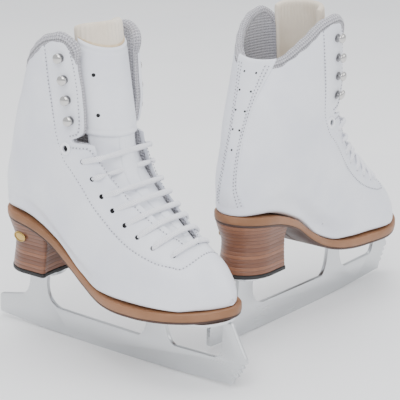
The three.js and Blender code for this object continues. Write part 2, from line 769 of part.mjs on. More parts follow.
// plain oval badge on the outer side of the heel, near its back
function heelBadge() {
  const [halfLength, halfHeight, thickness] = [8.5, 4.6, 1];
  const sides = 14;
  const rings = [0, thickness].map((out) => Array.from({ length: sides }, (_, j) => {
    const a = (2 * Math.PI * j) / sides;
    return v3(halfLength * Math.cos(a), -out, halfHeight * Math.sin(a));
  }));
  const badge = loft(rings);
  badge.rotateZ(-badgePlace.turn);
  badge.translate(badgePlace.x, badgePlace.y, badgePlace.z);
  return badge;
}

// ---- materials ----
function look(color, roughness, metalness = 0) {
  return new THREE.MeshStandardMaterial({ color, roughness, metalness });
}

const whiteLeather = look(0xe9eaf0, 0.45);
const greyKnit = look(0xb9b8bd, 0.95);
const creamLining = look(0xe8dfcf, 0.9);
const tanSole = look(0xb0875d, 0.6);
const darkSole = look(0x54382a, 0.6);
const stackedLeather = look(0x8a5638, 0.5);
const blackRubber = look(0x1d1b1b, 0.7);
const steel = look(0xd4d7da, 0.3, 1);
const nickel = look(0xdadcde, 0.15, 1);
const laceCotton = look(0xf1f1f6, 0.85);
const whiteEnamel = look(0xf3f3f7, 0.3);
const goldBadge = look(0xb99a56, 0.3, 1);
const fibreBoard = look(0x8d6f4f, 0.8);

// ---- one skate: name, geometry and material of each piece ----
function pieces() {
  const list = [
    ['quarter_outer', quarter(-1), whiteLeather],
    ['quarter_inner', quarter(1), whiteLeather],
    ['backstay', backstay(), whiteLeather],
    ['collar_lining', lining(), greyKnit],
    ['tongue_upper', tongueUpper(), whiteLeather],
    ['tongue_lower', tongueLower(), whiteLeather],
    ['lace_keeper', laceKeeper(), whiteLeather],
    ['insole_board', insoleBoard(), fibreBoard],
    ['footbed', footbed(), creamLining],
    ['midsole', cut(midsole(), ...soleScrewPlaces.map(screwHole)), tanSole],
    ['outsole', cut(outsole(), ...soleScrewPlaces.map(screwHole)), darkSole],
    ['heel_stack', cut(heelStack(), ...heelScrewPlaces.map(screwHole)), stackedLeather],
    ['heel_lift', cut(heelLift(), ...heelScrewPlaces.map(screwHole)), blackRubber],
    ['runner', runner(), steel],
    ['sole_plate', solePlate(), steel],
    ['heel_plate', heelPlate(), steel],
    ['lace', lace(), laceCotton],
    ['heel_badge', heelBadge(), goldBadge],
  ];
  for (const [side, name] of [[-1, 'outer'], [1, 'inner']]) {
    for (let i = 0; i < 4; i++) list.push([`hook_${name}_${i + 1}`, hook(i, side), nickel]);
    list.push([`ring_eyelet_${name}`, ringEyelet(side), whiteEnamel]);
  }
  heelScrewPlaces.forEach((at, i) => list.push([`heel_screw_${i + 1}`, screw(at), nickel]));
  return list;
}

// mirror image in the plane of the blade
function mirrored(geometry) {
  const copy = geometry.clone();
  copy.scale(1, -1, 1);
  return outward(copy);
}

const pair = new THREE.Group();
const right = new THREE.Group();
const left = new THREE.Group();
for (const [name, geometry, material] of pieces()) {
  const rightPiece = new THREE.Mesh(geometry, material);
  rightPiece.name = `right_${name}`;
  right.add(rightPiece);
  const leftPiece = new THREE.Mesh(mirrored(geometry), material);
  leftPiece.name = `left_${name}`;
  left.add(leftPiece);
}
right.rotation.z = -Math.PI / 2;
left.position.set(leftPlace.x, leftPlace.y, 0);
pair.add(right, left);

// the pair stands with the middle of its base at the origin
pair.updateMatrixWorld(true);
const box = new THREE.Box3().setFromObject(pair, true);
const middle = box.getCenter(new THREE.Vector3());
pair.position.set(-middle.x, -middle.y, -box.min.z);

export default pair;
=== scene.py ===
"""A pair of women's figure skates: white laced boots, stacked heels and rockered steel blades.

Every shape is worked out in one skate's own frame, in millimetres: x forward from the back of the
heel, y towards the inner side of the foot, z up from the ice. The same mesh is then stood in the
right skate's place and, mirrored, in the left one's.
"""

import math

import bmesh
import bpy
import numpy as np
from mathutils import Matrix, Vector


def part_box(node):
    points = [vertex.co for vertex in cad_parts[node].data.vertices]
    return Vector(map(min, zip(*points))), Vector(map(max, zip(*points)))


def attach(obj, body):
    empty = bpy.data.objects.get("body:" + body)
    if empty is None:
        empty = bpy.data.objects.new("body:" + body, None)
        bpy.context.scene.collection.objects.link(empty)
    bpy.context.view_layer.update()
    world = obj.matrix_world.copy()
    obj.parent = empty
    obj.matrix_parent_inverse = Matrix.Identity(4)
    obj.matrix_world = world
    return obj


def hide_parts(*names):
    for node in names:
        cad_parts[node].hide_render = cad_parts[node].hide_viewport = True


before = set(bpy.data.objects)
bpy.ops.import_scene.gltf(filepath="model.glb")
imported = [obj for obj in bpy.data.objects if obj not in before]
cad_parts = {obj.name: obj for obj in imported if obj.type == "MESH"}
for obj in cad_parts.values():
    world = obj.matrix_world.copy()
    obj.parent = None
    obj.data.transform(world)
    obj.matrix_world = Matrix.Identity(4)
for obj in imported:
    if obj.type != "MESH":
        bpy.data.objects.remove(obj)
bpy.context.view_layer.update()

MM = 0.001
SIDES = ("right", "left")

# ---- where the two skates stand, read from their blades ----
TAIL_BACK = -32.5  # x of the blade's back end


def blade_place(side):
    """Origin of a skate's own frame: the blade's back end is at x TAIL_BACK and its middle at y 0."""
    low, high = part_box(f"{side}_runner")
    if side == "right":
        return np.array([(low[0] + high[0]) / 2, high[1] + TAIL_BACK * MM, 0.0])
    return np.array([low[0] - TAIL_BACK * MM, (low[1] + high[1]) / 2, 0.0])


PLACE = {side: blade_place(side) for side in SIDES}


def stand(points, side):
    """Skate frame in millimetres to the row frame in metres: the right skate is turned to point
    along -Y, the left one is mirrored in its blade's plane and points along +X."""
    points = np.asarray(points, float).reshape(-1, 3) * MM
    x, y, z = points.T
    turned = (y, -x, z) if side == "right" else (x, -y, z)
    return np.stack(turned, 1) + PLACE[side]


# ---- curves ----
def through(*knots):
    """Smooth curve through [x, value] knots that never overshoots them: cubic pieces whose slope at
    a knot is the harmonic mean of the slopes on its two sides, and flat where they change sign."""
    x, v = np.array(knots, float).T
    slope = np.diff(v) / np.diff(x)
    a, b = slope[:-1], slope[1:]
    same = a * b > 0
    inner = np.where(same, 2 * a * b / np.where(same, a + b, 1), 0)
    tangent = np.concatenate([slope[:1], inner, slope[-1:]])

    def value(at):
        at = np.clip(np.asarray(at, float), x[0], x[-1])
        i = np.clip(np.searchsorted(x, at, side="right") - 1, 0, len(slope) - 1)
        h = x[i + 1] - x[i]
        t = (at - x[i]) / h
        rise = v[i + 1] - v[i]
        m0, m1 = tangent[i] * h, tangent[i + 1] * h
        return v[i] + m0 * t + (3 * rise - 2 * m0 - m1) * t**2 + (m0 + m1 - 2 * rise) * t**3

    return value


def smoothstep(low, high, value):
    t = np.clip((value - low) / (high - low), 0, 1)
    return t * t * (3 - 2 * t)


def unit(v):
    return v / np.maximum(np.linalg.norm(v, axis=-1, keepdims=True), 1e-9)


def circle(count):
    """Angles of count points all the way round."""
    return np.linspace(0, 2 * math.pi, count, endpoint=False)


def rounded(past):
    """Quarter circle that falls from 1 to 0 while past goes from 0 to 1."""
    return np.sqrt(np.clip(1 - np.clip(past, 0, 1) ** 2, 0, 1))


def run_of(path):
    """Length along a path up to each of its points."""
    return np.concatenate([[0], np.cumsum(np.linalg.norm(np.diff(path, axis=0), axis=1))])


def at_run(at, run, values):
    """Columns of values, known at each run, read off at other runs."""
    return np.stack([np.interp(at, run, column) for column in values.T], -1)


def resampled(path, step):
    """Open path of points through given ones, smoothed by a Catmull-Rom spline and cut into equal
    lengths of about step."""
    p = np.asarray(path, float)
    p = np.concatenate([[2 * p[0] - p[1]], p, [2 * p[-1] - p[-2]]])
    t = np.linspace(0, 1, 12, endpoint=False)[:, None, None]
    a, b, c, d = p[:-3], p[1:-2], p[2:-1], p[3:]
    piece = 0.5 * (2 * b + (c - a) * t + (2 * a - 5 * b + 4 * c - d) * t**2 + (3 * b - a - 3 * c + d) * t**3)
    fine = np.concatenate([piece.transpose(1, 0, 2).reshape(-1, p.shape[1]), p[-2:-1]])
    run = run_of(fine)
    count = max(2, int(round(run[-1] / step)))
    return at_run(np.linspace(0, run[-1], count + 1), run, fine)


# ---- the last: the closed surface the boot is drawn over ----
# section by section from toe to collar: back x, back z, front x, front z, half width
SECTIONS = np.array([
    [246.5, 74, 247, 80, 3],
    [243, 73, 243.5, 91, 11],
    [237, 72, 237, 102, 19],
    [227, 71, 227, 113, 28],
    [213, 69, 213, 124, 36],
    [193, 69, 194, 141, 40.5],
    [166, 69, 171, 165, 41.5],
    [136, 71, 155, 190, 42],
    [106, 82, 147, 210, 42],
    [70, 106, 142, 223, 42],
    [34, 119, 139, 235, 41.5],
    [0, 125, 137, 247, 41],
    [-6, 146, 135, 257, 41.5],
    [-1, 172, 133, 266, 42],
    [7, 197, 132, 275, 42.5],
    [16, 222, 130, 283, 43],
    [25, 243, 129, 291, 43],
    [34, 262, 128, 302, 43],
    [40, 278, 128, 314, 43],
])
LAST_END = len(SECTIONS) - 1
section_value = [through(*enumerate(SECTIONS[:, k])) for k in range(5)]
waist_at = through([0, 0.3], [3, 0.27], [5, 0.32], [8, 0.44], [11, 0.62], [14, 0.56], [18, 0.5])
square_low = through([0, 2.2], [3, 4.6], [7, 4.6], [10, 2.8], [13, 1.9], [18, 2.2])
square_high = through([0, 1.7], [3, 1.75], [4.5, 1.55], [7, 1.5], [9, 1.8], [11, 2.4], [18, 2.5])
ridge_y = through([0, 5], [2, 5], [5, 0.5], [18, 0])
sole_centre = through([60, 0], [138, -4], [175, -2.3], [212, 3], [250, 6])


def last_point(s, a, inset=0.0):
    """Point of the last at section s and angle a (0 back or bottom, pi front or top, positive towards
    the inner side): a superellipse whose halves below and above its widest place have their own
    squareness, drawn in all round by inset."""
    s, a = np.broadcast_arrays(np.asarray(s, float), np.asarray(a, float))
    bx, bz, fx, fz, half = [curve(s) for curve in section_value]
    length = np.hypot(fx - bx, fz - bz)
    cos, sin = np.cos(a), np.sin(a)
    square = 2 / np.where(cos > 0, square_low(s), square_high(s))
    waist = waist_at(s)
    part = np.abs(cos) ** square
    t = np.where(cos > 0, waist * (1 - part), waist + (1 - waist) * part)
    reach = inset + t * (length - 2 * inset)
    width = np.sign(sin) * np.abs(sin) ** square * np.maximum(0.2, half - inset)
    centre = sole_centre(bx) * (1 - t) + ridge_y(s) * t
    return np.stack([bx + (fx - bx) / length * reach, centre + width, bz + (fz - bz) / length * reach], -1)


def last_normal(s, a):
    """Outward unit normal of the last, from two short steps along and round it."""
    step = 0.03
    along = last_point(s + step, a) - last_point(s - step, a)
    around = last_point(s, a + step) - last_point(s, a - step)
    return unit(np.cross(along, around))


def last_offset(s, a, out):
    return last_point(s, a) + last_normal(s, a) * np.asarray(out, float)[..., None]


def on_last(xz, side):
    """Section and angle of the last at each x and z on one side (1 inner, -1 outer), by Newton's
    method on both at once."""
    xz = np.asarray(xz, float).reshape(-1, 2)
    s, a = np.full(len(xz), 8.0), np.full(len(xz), 2.0)
    step = 0.01
    for _ in range(40):
        p = last_point(s, a)
        ds = (last_point(s + step, a) - p) / step
        da = (last_point(s, a + step) - p) / step
        det = ds[:, 0] * da[:, 2] - da[:, 0] * ds[:, 2]
        dx, dz = xz[:, 0] - p[:, 0], xz[:, 1] - p[:, 2]
        s = np.clip(s + 0.5 * (dx * da[:, 2] - dz * da[:, 0]) / det, 1, LAST_END)
        a = np.clip(a + 0.5 * (dz * ds[:, 0] - dx * ds[:, 2]) / det, 0.25, 3.05)
    return s, side * a


def front_angle(s, half, inset=0.0):
    """Angle back from the front line at which the last is half wide."""
    ratio = np.minimum(0.98, half / (section_value[4](s) - inset))
    return np.arcsin(ratio ** (square_high(s) / 2))


def seats(places, side):
    """Point on the leather and outward normal at each x and z place on one side."""
    s, a = on_last(places, side)
    return zip(last_point(s, a), last_normal(s, a))


# ---- meshes ----
def quads(rows, cols, wrap_rows=False, wrap_cols=False):
    """Faces of a grid of rows by cols points, counter-clockwise where columns run right and rows up."""
    i = np.arange(rows if wrap_rows else rows - 1)[:, None]
    j = np.arange(cols if wrap_cols else cols - 1)[None, :]
    above, right = (i + 1) % rows, (j + 1) % cols
    corners = (i * cols + j, i * cols + right, above * cols + right, above * cols + j)
    return np.stack(np.broadcast_arrays(*corners), -1).reshape(-1, 4)


def linked(name, data):
    """New object in the scene."""
    obj = bpy.data.objects.new(name, data)
    bpy.context.scene.collection.objects.link(obj)
    return obj


def set_uv(mesh, uv):
    """Gives each corner of the mesh's faces the UV of its point."""
    corner = np.empty(len(mesh.loops), int)
    mesh.loops.foreach_get("vertex_index", corner)
    layer = mesh.uv_layers[0] if mesh.uv_layers else mesh.uv_layers.new(name="UVMap")
    layer.data.foreach_set("uv", np.asarray(uv, float)[corner].ravel())


def build(name, points, faces, uv=None, smooth=True):
    """Mesh object from points in millimetres and a list or array of faces."""
    mesh = bpy.data.meshes.new(name)
    faces = faces.tolist() if isinstance(faces, np.ndarray) else faces
    mesh.from_pydata(np.asarray(points, float).reshape(-1, 3).tolist(), [], faces)
    if uv is not None:
        set_uv(mesh, uv)
    mesh.polygons.foreach_set("use_smooth", np.full(len(mesh.polygons), smooth))
    mesh.validate()
    return linked(name, mesh)


def vectors_of(items, name):
    """One vector for each item, such as every point's place or every face's normal."""
    flat = np.empty(len(items) * 3)
    items.foreach_get(name, flat)
    return flat.reshape(-1, 3)


def weld(mesh, distance=0.01):
    """Merges doubles and turns every face outwards."""
    bm = bmesh.new()
    bm.from_mesh(mesh)
    bmesh.ops.remove_doubles(bm, verts=bm.verts, dist=distance)
    bmesh.ops.dissolve_degenerate(bm, edges=bm.edges, dist=1e-4)
    bmesh.ops.recalc_face_normals(bm, faces=bm.faces)
    bm.to_mesh(mesh)
    bm.free()


def outward_solid(name, data):
    """Object of a closed shape given as points and faces, welded and facing outwards."""
    obj = build(name, *data)
    weld(obj.data)
    return obj


def finished(obj):
    """The object's mesh with its modifiers applied, and the working object removed."""
    graph = bpy.context.evaluated_depsgraph_get()
    mesh = bpy.data.meshes.new_from_object(obj.evaluated_get(graph))
    bpy.data.objects.remove(obj)
    return mesh


def modify(obj, kind, **values):
    modifier = obj.modifiers.new(kind.title(), kind)
    for key, value in values.items():
        setattr(modifier, key, value)


def cut(obj, *cutters):
    """The object's mesh with the cutters taken out of it one after another, and the cutters removed."""
    for cutter in cutters:
        modify(obj, "BOOLEAN", operation="DIFFERENCE", solver="EXACT", object=cutter)
    mesh = finished(obj)
    for cutter in cutters:
        bpy.data.objects.remove(cutter)
    return mesh


CUFF_SPLAY = np.array([5.5, 4.0, 0.0])


def splayed(points):
    """The inner side of the cuff stands open: its front, above the ankle, is moved forwards and
    outwards, fading out towards the back seam and the notch."""
    x, y, z = points.T
    share = smoothstep(70, 112, x) * smoothstep(200, 240, z) * smoothstep(8, 34, y)
    return points + share[:, None] * CUFF_SPLAY


def both(name, source, material, body="skate", nodes=(), crease=None, splay=False):
    """Stands one finished mesh in both skates' places. Each copy rides on its skate's body or tongue,
    and replaces the CAD nodes named."""
    if isinstance(source, bpy.types.Object):
        source = finished(source)
    rest = vectors_of(source.vertices, "co")
    if splay:
        rest = splayed(rest)
    made = []
    for side in SIDES:
        mesh = source.copy()
        mesh.name = f"{side}_{name}_mesh"
        mesh.vertices.foreach_set("co", stand(rest, side).ravel())
        if side == "left":
            mesh.flip_normals()
        mesh.update()
        if crease is not None:
            mesh.set_sharp_from_angle(angle=math.radians(crease))
        mesh.materials.clear()
        for each in material if isinstance(material, list) else [material]:
            mesh.materials.append(each)
        obj = linked(f"{side}_{name}_look", mesh)
        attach(obj, f"{side}_{body}")
        if nodes:
            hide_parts(*[f"{side}_{node}" for node in nodes])
        made.append(obj)
    bpy.data.meshes.remove(source)
    return made


def merge(parts):
    """One point list and one face list from several."""
    points, faces, start = [], [], 0
    for p, f in parts:
        p = np.asarray(p, float).reshape(-1, 3)
        points.append(p)
        faces += [[start + k for k in face] for face in (f.tolist() if isinstance(f, np.ndarray) else f)]
        start += len(p)
    return np.concatenate(points), faces


def closed_tube(rings):
    """Points and faces of a surface through rings of equally many points, closed by an end cap at
    each end."""
    rings = np.asarray(rings, float)
    n, m = rings.shape[:2]
    faces = quads(n, m, wrap_cols=True).tolist()
    faces += [list(range(m))[::-1], [(n - 1) * m + j for j in range(m)]]
    return rings.reshape(-1, 3), faces


def slab(front, back):
    """Closed solid between two grids of points that lie one behind the other."""
    return closed_tube(np.concatenate([front, back[:, ::-1]], 1))


def turned(profile, at, axis, sides=24):
    """Profile of [radius, height] turned about an axis through a point."""
    profile = np.asarray(profile, float)
    axis = unit(np.asarray(axis, float))
    side = unit(np.cross(axis, [0.3, 0.1, 1.0]))
    other = np.cross(axis, side)
    angle = circle(sides)
    spoke = np.cos(angle)[:, None] * side + np.sin(angle)[:, None] * other
    rings = np.asarray(at) + profile[:, None, 1:] * axis + profile[:, None, :1] * spoke
    return rings.reshape(-1, 3), quads(len(profile), sides, wrap_cols=True)


def swept(path, section, normal_hint):
    """Section of [across, up] offsets carried along a path and closed at its ends: up is the hint's
    part square to the path."""
    path = np.asarray(path, float)
    along = unit(np.gradient(path, axis=0))
    up = unit(normal_hint - (normal_hint * along).sum(-1, keepdims=True) * along)
    across = np.cross(along, up)
    section = np.asarray(section, float)
    if section.ndim == 2:
        section = np.broadcast_to(section, (len(path),) + section.shape)
    return closed_tube(path[:, None] + section[..., :1] * across[:, None] + section[..., 1:] * up[:, None])


def oval(across, up, sides):
    a = circle(sides)
    return np.stack([across * np.cos(a), up * np.sin(a)], 1)


def prism(outline, low, high):
    """Outline of [x, z] points carried across the skate from y low to y high."""
    outline = np.asarray(outline, float)
    return closed_tube([np.insert(outline, 1, y, axis=1) for y in (low, high)])


# ---- finishes ----
def group_sockets(group, inputs, outputs):
    for name, kind, value in inputs:
        socket = group.interface.new_socket(name, in_out="INPUT", socket_type=kind)
        if value is not None:
            socket.default_value = value
    for name, kind in outputs:
        group.interface.new_socket(name, in_out="OUTPUT", socket_type=kind)


class Graph:
    """Small helper that adds nodes to a tree and joins them."""

    def __init__(self, tree):
        self.tree = tree

    def feed(self, socket, value):
        """Joins a socket to another one, or sets its value."""
        if isinstance(value, bpy.types.NodeSocket):
            self.tree.links.new(value, socket)
        else:
            socket.default_value = value

    def add(self, kind, inputs=(), **settings):
        node = self.tree.nodes.new(kind)
        for key, value in settings.items():
            setattr(node, key, value)
        for name, value in dict(inputs).items():
            self.feed(node.inputs[name], value)
        return node

    def math(self, operation, a, b=0.0):
        return self.add("ShaderNodeMath", {0: a, 1: b}, operation=operation).outputs[0]

    def mix(self, factor, a, b):
        return self.add("ShaderNodeMix", {0: factor, 6: a, 7: b}, data_type="RGBA").outputs[2]

    def noise(self, vector, scale, detail=3.0, roughness=0.5):
        inputs = {"Vector": vector, "Scale": scale, "Detail": detail, "Roughness": roughness}
        return self.add("ShaderNodeTexNoise", inputs).outputs["Fac"]

    def ramp(self, value, low, high):
        inputs = {"Value": value, "From Min": low, "From Max": high}
        return self.add("ShaderNodeMapRange", inputs, interpolation_type="SMOOTHSTEP").outputs["Result"]

    def group(self, tree, **inputs):
        return self.add("ShaderNodeGroup", inputs, node_tree=tree)

    def object_place(self):
        return self.add("ShaderNodeTexCoord").outputs["Object"]

    def piece_uv(self):
        return self.add("ShaderNodeTexCoord").outputs["UV"]


def grain_group():
    """Leather grain: rounded cells of pebbles with finer noise on them, and a slow variation in tone."""
    tree = bpy.data.node_groups.new("grain", "ShaderNodeTree")
    group_sockets(tree, [("Vector", "NodeSocketVector", None), ("Size", "NodeSocketFloat", 900.0)],
                  [("Height", "NodeSocketFloat"), ("Tone", "NodeSocketFloat")])
    g = Graph(tree)
    start, end = tree.nodes.new("NodeGroupInput"), tree.nodes.new("NodeGroupOutput")
    vector = start.outputs["Vector"]
    cells = g.add("ShaderNodeTexVoronoi", {"Vector": vector, "Scale": start.outputs["Size"]})
    pebbles = g.math("MULTIPLY", cells.outputs["Distance"], 0.6)
    fine = g.math("MULTIPLY", g.noise(vector, 2400.0, 2.0), 0.5)
    g.feed(end.inputs["Height"], g.math("ADD", pebbles, fine))
    g.feed(end.inputs["Tone"], g.noise(vector, 22.0, 4.0))
    return tree


def smudge_group():
    """Slow marks: a mask of soft smudges that roughness and tone are varied with, and a fine noise."""
    tree = bpy.data.node_groups.new("smudge", "ShaderNodeTree")
    group_sockets(tree, [("Vector", "NodeSocketVector", None), ("Size", "NodeSocketFloat", 30.0)],
                  [("Mask", "NodeSocketFloat"), ("Fine", "NodeSocketFloat")])
    g = Graph(tree)
    start, end = tree.nodes.new("NodeGroupInput"), tree.nodes.new("NodeGroupOutput")
    vector = start.outputs["Vector"]
    slow = g.noise(vector, start.outputs["Size"], 5.0, 0.6)
    g.feed(end.inputs["Mask"], g.ramp(slow, 0.35, 0.7))
    g.feed(end.inputs["Fine"], g.noise(vector, 400.0, 4.0, 0.6))
    return tree


GRAIN = grain_group()
SMUDGE = smudge_group()


def rgb(code):
    """Linear colour from a screen colour code."""
    channels = [int(code[k:k + 2], 16) / 255 for k in (0, 2, 4)]
    return [c / 12.92 if c <= 0.04045 else ((c + 0.055) / 1.055) ** 2.4 for c in channels] + [1.0]


def finish_material(name, colour, roughness, metallic=0.0, **sockets):
    """New material with a Principled shader, and the graph to add to."""
    material = bpy.data.materials.new(name)
    material.use_nodes = True
    shader = material.node_tree.nodes["Principled BSDF"]
    values = {"Base Color": rgb(colour), "Roughness": roughness, "Metallic": metallic}
    for key, value in (values | sockets).items():
        shader.inputs[key.replace("_", " ")].default_value = value
    return material, Graph(material.node_tree), shader.inputs


def bump(graph, inputs, height, strength, distance):
    node = graph.add("ShaderNodeBump", {"Height": height, "Strength": strength, "Distance": distance})
    graph.feed(inputs["Normal"], node.outputs["Normal"])


def leather(name, colour, shade, roughness, size=900.0, strength=0.12, **sockets):
    """Smooth coated leather: pebble grain in the bump, slow drift between two close tones."""
    material, g, inputs = finish_material(name, colour, roughness, **sockets)
    vector = g.object_place()
    grain = g.group(GRAIN, Vector=vector, Size=size)
    tone = g.ramp(grain.outputs["Tone"], 0.3, 0.7)
    g.feed(inputs["Base Color"], g.mix(tone, rgb(colour), rgb(shade)))
    smudge = g.group(SMUDGE, Vector=vector, Size=35.0)
    rough = g.math("MULTIPLY", smudge.outputs["Mask"], 0.1)
    g.feed(inputs["Roughness"], g.math("ADD", rough, roughness - 0.05))
    bump(g, inputs, grain.outputs["Height"], strength, 0.0004)
    return material


def knit(name, light, dark, scale, strength):
    """Melange knit: two-way ribs on the piece's own UV in millimetres, with flecks of two yarns."""
    material, g, inputs = finish_material(name, light, 0.92, Sheen_Weight=0.35, Sheen_Roughness=0.5)
    uv = g.piece_uv()
    split = g.add("ShaderNodeSeparateXYZ", {"Vector": uv})
    loops = g.math("SINE", g.math("MULTIPLY", split.outputs["X"], scale))
    up = g.math("MULTIPLY", split.outputs["Y"], scale * 0.8)
    courses = g.math("SINE", g.math("ADD", up, g.math("MULTIPLY", loops, 0.9)))
    height = g.math("MULTIPLY", g.math("ADD", loops, courses), 0.5)
    # The ribs' height tips the yarn flecks towards the dark yarn in the hollows: painted shade on the real
    # melange.
    yarn_fleck_and_rib_shade = g.math("ADD", g.noise(uv, 1.6, 4.0, 0.8), g.math("MULTIPLY", height, 0.08))
    g.feed(inputs["Base Color"], g.mix(g.ramp(yarn_fleck_and_rib_shade, 0.42, 0.6), rgb(dark), rgb(light)))
    bump(g, inputs, height, strength, 0.0006)
    return material


def steel(name, colour, roughness, along=(1.0, 1.0, 1.0), strength=0.04):
    """Polished or satin steel: fine lines drawn out along the piece, in roughness and a faint bump."""
    material, g, inputs = finish_material(name, colour, roughness, 1.0)
    vector = g.object_place()
    mapping = g.add("ShaderNodeMapping", {"Vector": vector, "Scale": along})
    lines = g.noise(mapping.outputs["Vector"], 900.0, 3.0)
    smudge = g.group(SMUDGE, Vector=vector, Size=25.0)
    marks = g.math("MULTIPLY", smudge.outputs["Mask"], 0.06)
    rough = g.math("ADD", g.math("MULTIPLY", lines, 0.08), marks)
    g.feed(inputs["Roughness"], g.math("ADD", rough, roughness - 0.06))
    bump(g, inputs, lines, strength, 0.0002)
    return material


def stack_material(name, layer, base):
    """Stacked heel leather: the layers show as bands of close browns with a dark line between them,
    and each band has its own fibres. layer and base are in metres."""
    material, g, inputs = finish_material(name, "8a5a3e", 0.42, Coat_Weight=0.25, Coat_Roughness=0.25)
    vector = g.object_place()
    split = g.add("ShaderNodeSeparateXYZ", {"Vector": vector})
    level = g.math("DIVIDE", g.math("SUBTRACT", split.outputs["Z"], base), layer)
    band = g.math("FLOOR", level)
    own = g.add("ShaderNodeTexWhiteNoise", {"W": band}, noise_dimensions="1D").outputs["Value"]
    mapping = g.add("ShaderNodeMapping", {"Vector": vector, "Scale": (1.0, 1.0, 9.0)})
    fibre = g.noise(mapping.outputs["Vector"], 160.0, 5.0, 0.7)
    tone = g.mix(own, rgb("8a5a3f"), rgb("683f2b"))
    tone = g.mix(g.math("MULTIPLY", g.ramp(fibre, 0.35, 0.75), 0.5), tone, rgb("54321f"))
    edge = g.math("ABSOLUTE", g.math("SUBTRACT", g.math("FRACT", level), 0.5))
    line = g.ramp(edge, 0.36, 0.5)
    g.feed(inputs["Base Color"], g.mix(g.math("MULTIPLY", line, 0.75), tone, rgb("4a2b1c")))
    bump(g, inputs, g.math("SUBTRACT", g.math("MULTIPLY", fibre, 0.3), line), 0.35, 0.0004)
    return material


def plain(name, colour, other, roughness, scale=120.0, strength=0.1, **sockets):
    """Simple finish with a slow two-tone drift and fine noise in the bump."""
    material, g, inputs = finish_material(name, colour, roughness, **sockets)
    smudge = g.group(SMUDGE, Vector=g.object_place(), Size=scale)
    g.feed(inputs["Base Color"], g.mix(smudge.outputs["Mask"], rgb(colour), rgb(other)))
    bump(g, inputs, smudge.outputs["Fine"], strength, 0.0003)
    return material


def braid(name, colour, dark):
    """Woven lace: crossing strands on the piece's UV, u round the lace and v along it in millimetres."""
    material, g, inputs = finish_material(name, colour, 0.85, Sheen_Weight=0.2)
    split = g.add("ShaderNodeSeparateXYZ", {"Vector": g.piece_uv()})
    turn = g.math("MULTIPLY", split.outputs["X"], 2 * math.pi * 6)
    run = g.math("MULTIPLY", split.outputs["Y"], 4.2)
    one = g.math("SINE", g.math("ADD", turn, run))
    two = g.math("SINE", g.math("SUBTRACT", turn, run))
    height = g.math("MAXIMUM", one, two)
    # The colour follows the weave's height: the hollows between strands take the greyer tone as painted
    # shade.
    g.feed(inputs["Base Color"], g.mix(g.ramp(height, -0.6, 0.6), rgb(dark), rgb(colour)))
    bump(g, inputs, height, 0.4, 0.0004)
    return material


# heights of the heel and its layers, in millimetres
HEEL_LOW, LIFT, SEAT = 63.0, 3.6, 130.0
HEEL_LAYER = 3.6
STACK_LOW = HEEL_LOW + LIFT + 0.3


WHITE = leather("white_leather", "eceef4", "e2e4ed", 0.42, 1100.0, 0.08, Coat_Weight=0.15, Coat_Roughness=0.3)
STITCH = plain("white_thread", "f2f2f6", "dcdde4", 0.8, strength=0.2)
# Grey for the needle holes between stitches: painted shade, which makes the rows of stitches read as dotted
# lines
NEEDLE_SHADE = plain("painted_needle_shade", "9b9ba6", "85858f", 0.9)
# Near-black for holes, perforations and eyelet centres: painted shade, the dark that falls inside them
SHADOW_HOLE = plain("hole_painted_shade", "1d1c1f", "101012", 0.9)
KNIT = knit("grey_knit", "d6d5da", "86848c", 3.0, 0.8)
CREAM = leather("cream_padding", "eae0d0", "ddd0bd", 0.75, 500.0, 0.25, Sheen_Weight=0.2)
PIPING = plain("tan_piping", "d8c3a4", "c9b18f", 0.8)
TAN = leather("tan_edge", "94694a", "7f5738", 0.5, 300.0, 0.2)
OUTSOLE = leather("dark_outsole", "4b3226", "3d281f", 0.5, 260.0, 0.2)
STACK = stack_material("stacked_heel", HEEL_LAYER * MM, STACK_LOW * MM)
BREAST = leather("heel_breast", "573324", "47291c", 0.4, 300.0, 0.15, Coat_Weight=0.2)
RUBBER = plain("black_lift", "1b1a1b", "262424", 0.6)
BLADE = steel("satin_blade", "cfd1d3", 0.3, (0.05, 0.05, 1.0), 0.03)
MIRROR_EDGE = steel("polished_edge", "dfe1e4", 0.08, (1.0, 1.0, 1.0), 0.01)
PLATE = steel("plated_steel", "d6d8db", 0.2)
NICKEL = steel("nickel", "cfcdca", 0.1)
# Darker grey for the hook stems and their feet under the domed heads: painted shade; the higher roughness is
# their duller finish.
MATT_SHADED_NICKEL = steel("matt_nickel_painted_shade", "8d8d90", 0.35)
# The lace's greyer second tone is painted shade in the weave's hollows.
LACE = braid("lace_cotton", "f4f4f8", "cfd0da")
ENAMEL = plain("white_enamel", "f4f5f9", "eaebf2", 0.22, Coat_Weight=0.5, strength=0.02)
GOLD = steel("gold_badge", "c8a865", 0.22)
FOOTBED = leather("footbed_cloth", "ddd3c4", "cbbfae", 0.9, 700.0, 0.3)
BOARD = plain("fibre_board", "8f7352", "7c6246", 0.85)

# ---- plan and profile of the sole ----
feather_z = through([-6, 124], [15, 122.5], [38, 118.5], [65, 108.5], [90, 92], [110, 80], [125, 74],
                    [142, 70.5], [165, 69], [200, 69], [235, 71], [253, 73.5])
SOLE_BACK, SOLE_FRONT = -6.0, 253.0
HEEL_ROUND, TOE_ROUND = 31, 73  # length of the sole's rounded ends
body_half = through([25, 30], [65, 30], [90, 29.5], [110, 31.5], [135, 38], [155, 42], [180, 43.8])


def sole_half(x):
    """Half width of the sole: the body's, rounded by an ellipse at the heel and a fuller one at the
    toe."""
    heel = np.maximum(0, (SOLE_BACK + HEEL_ROUND - x) / HEEL_ROUND)
    toe = np.maximum(0, (x - SOLE_FRONT + TOE_ROUND) / TOE_ROUND)
    return body_half(x) * np.sqrt(np.maximum(0, 1 - heel**2)) * np.maximum(0, 1 - toe**2.2) ** 0.6


def outward_of(outline):
    """Outward unit normals of a closed outline in plan."""
    tangent = unit(np.roll(outline, -1, 0) - np.roll(outline, 1, 0))
    return np.stack([-tangent[:, 1], tangent[:, 0]], 1)


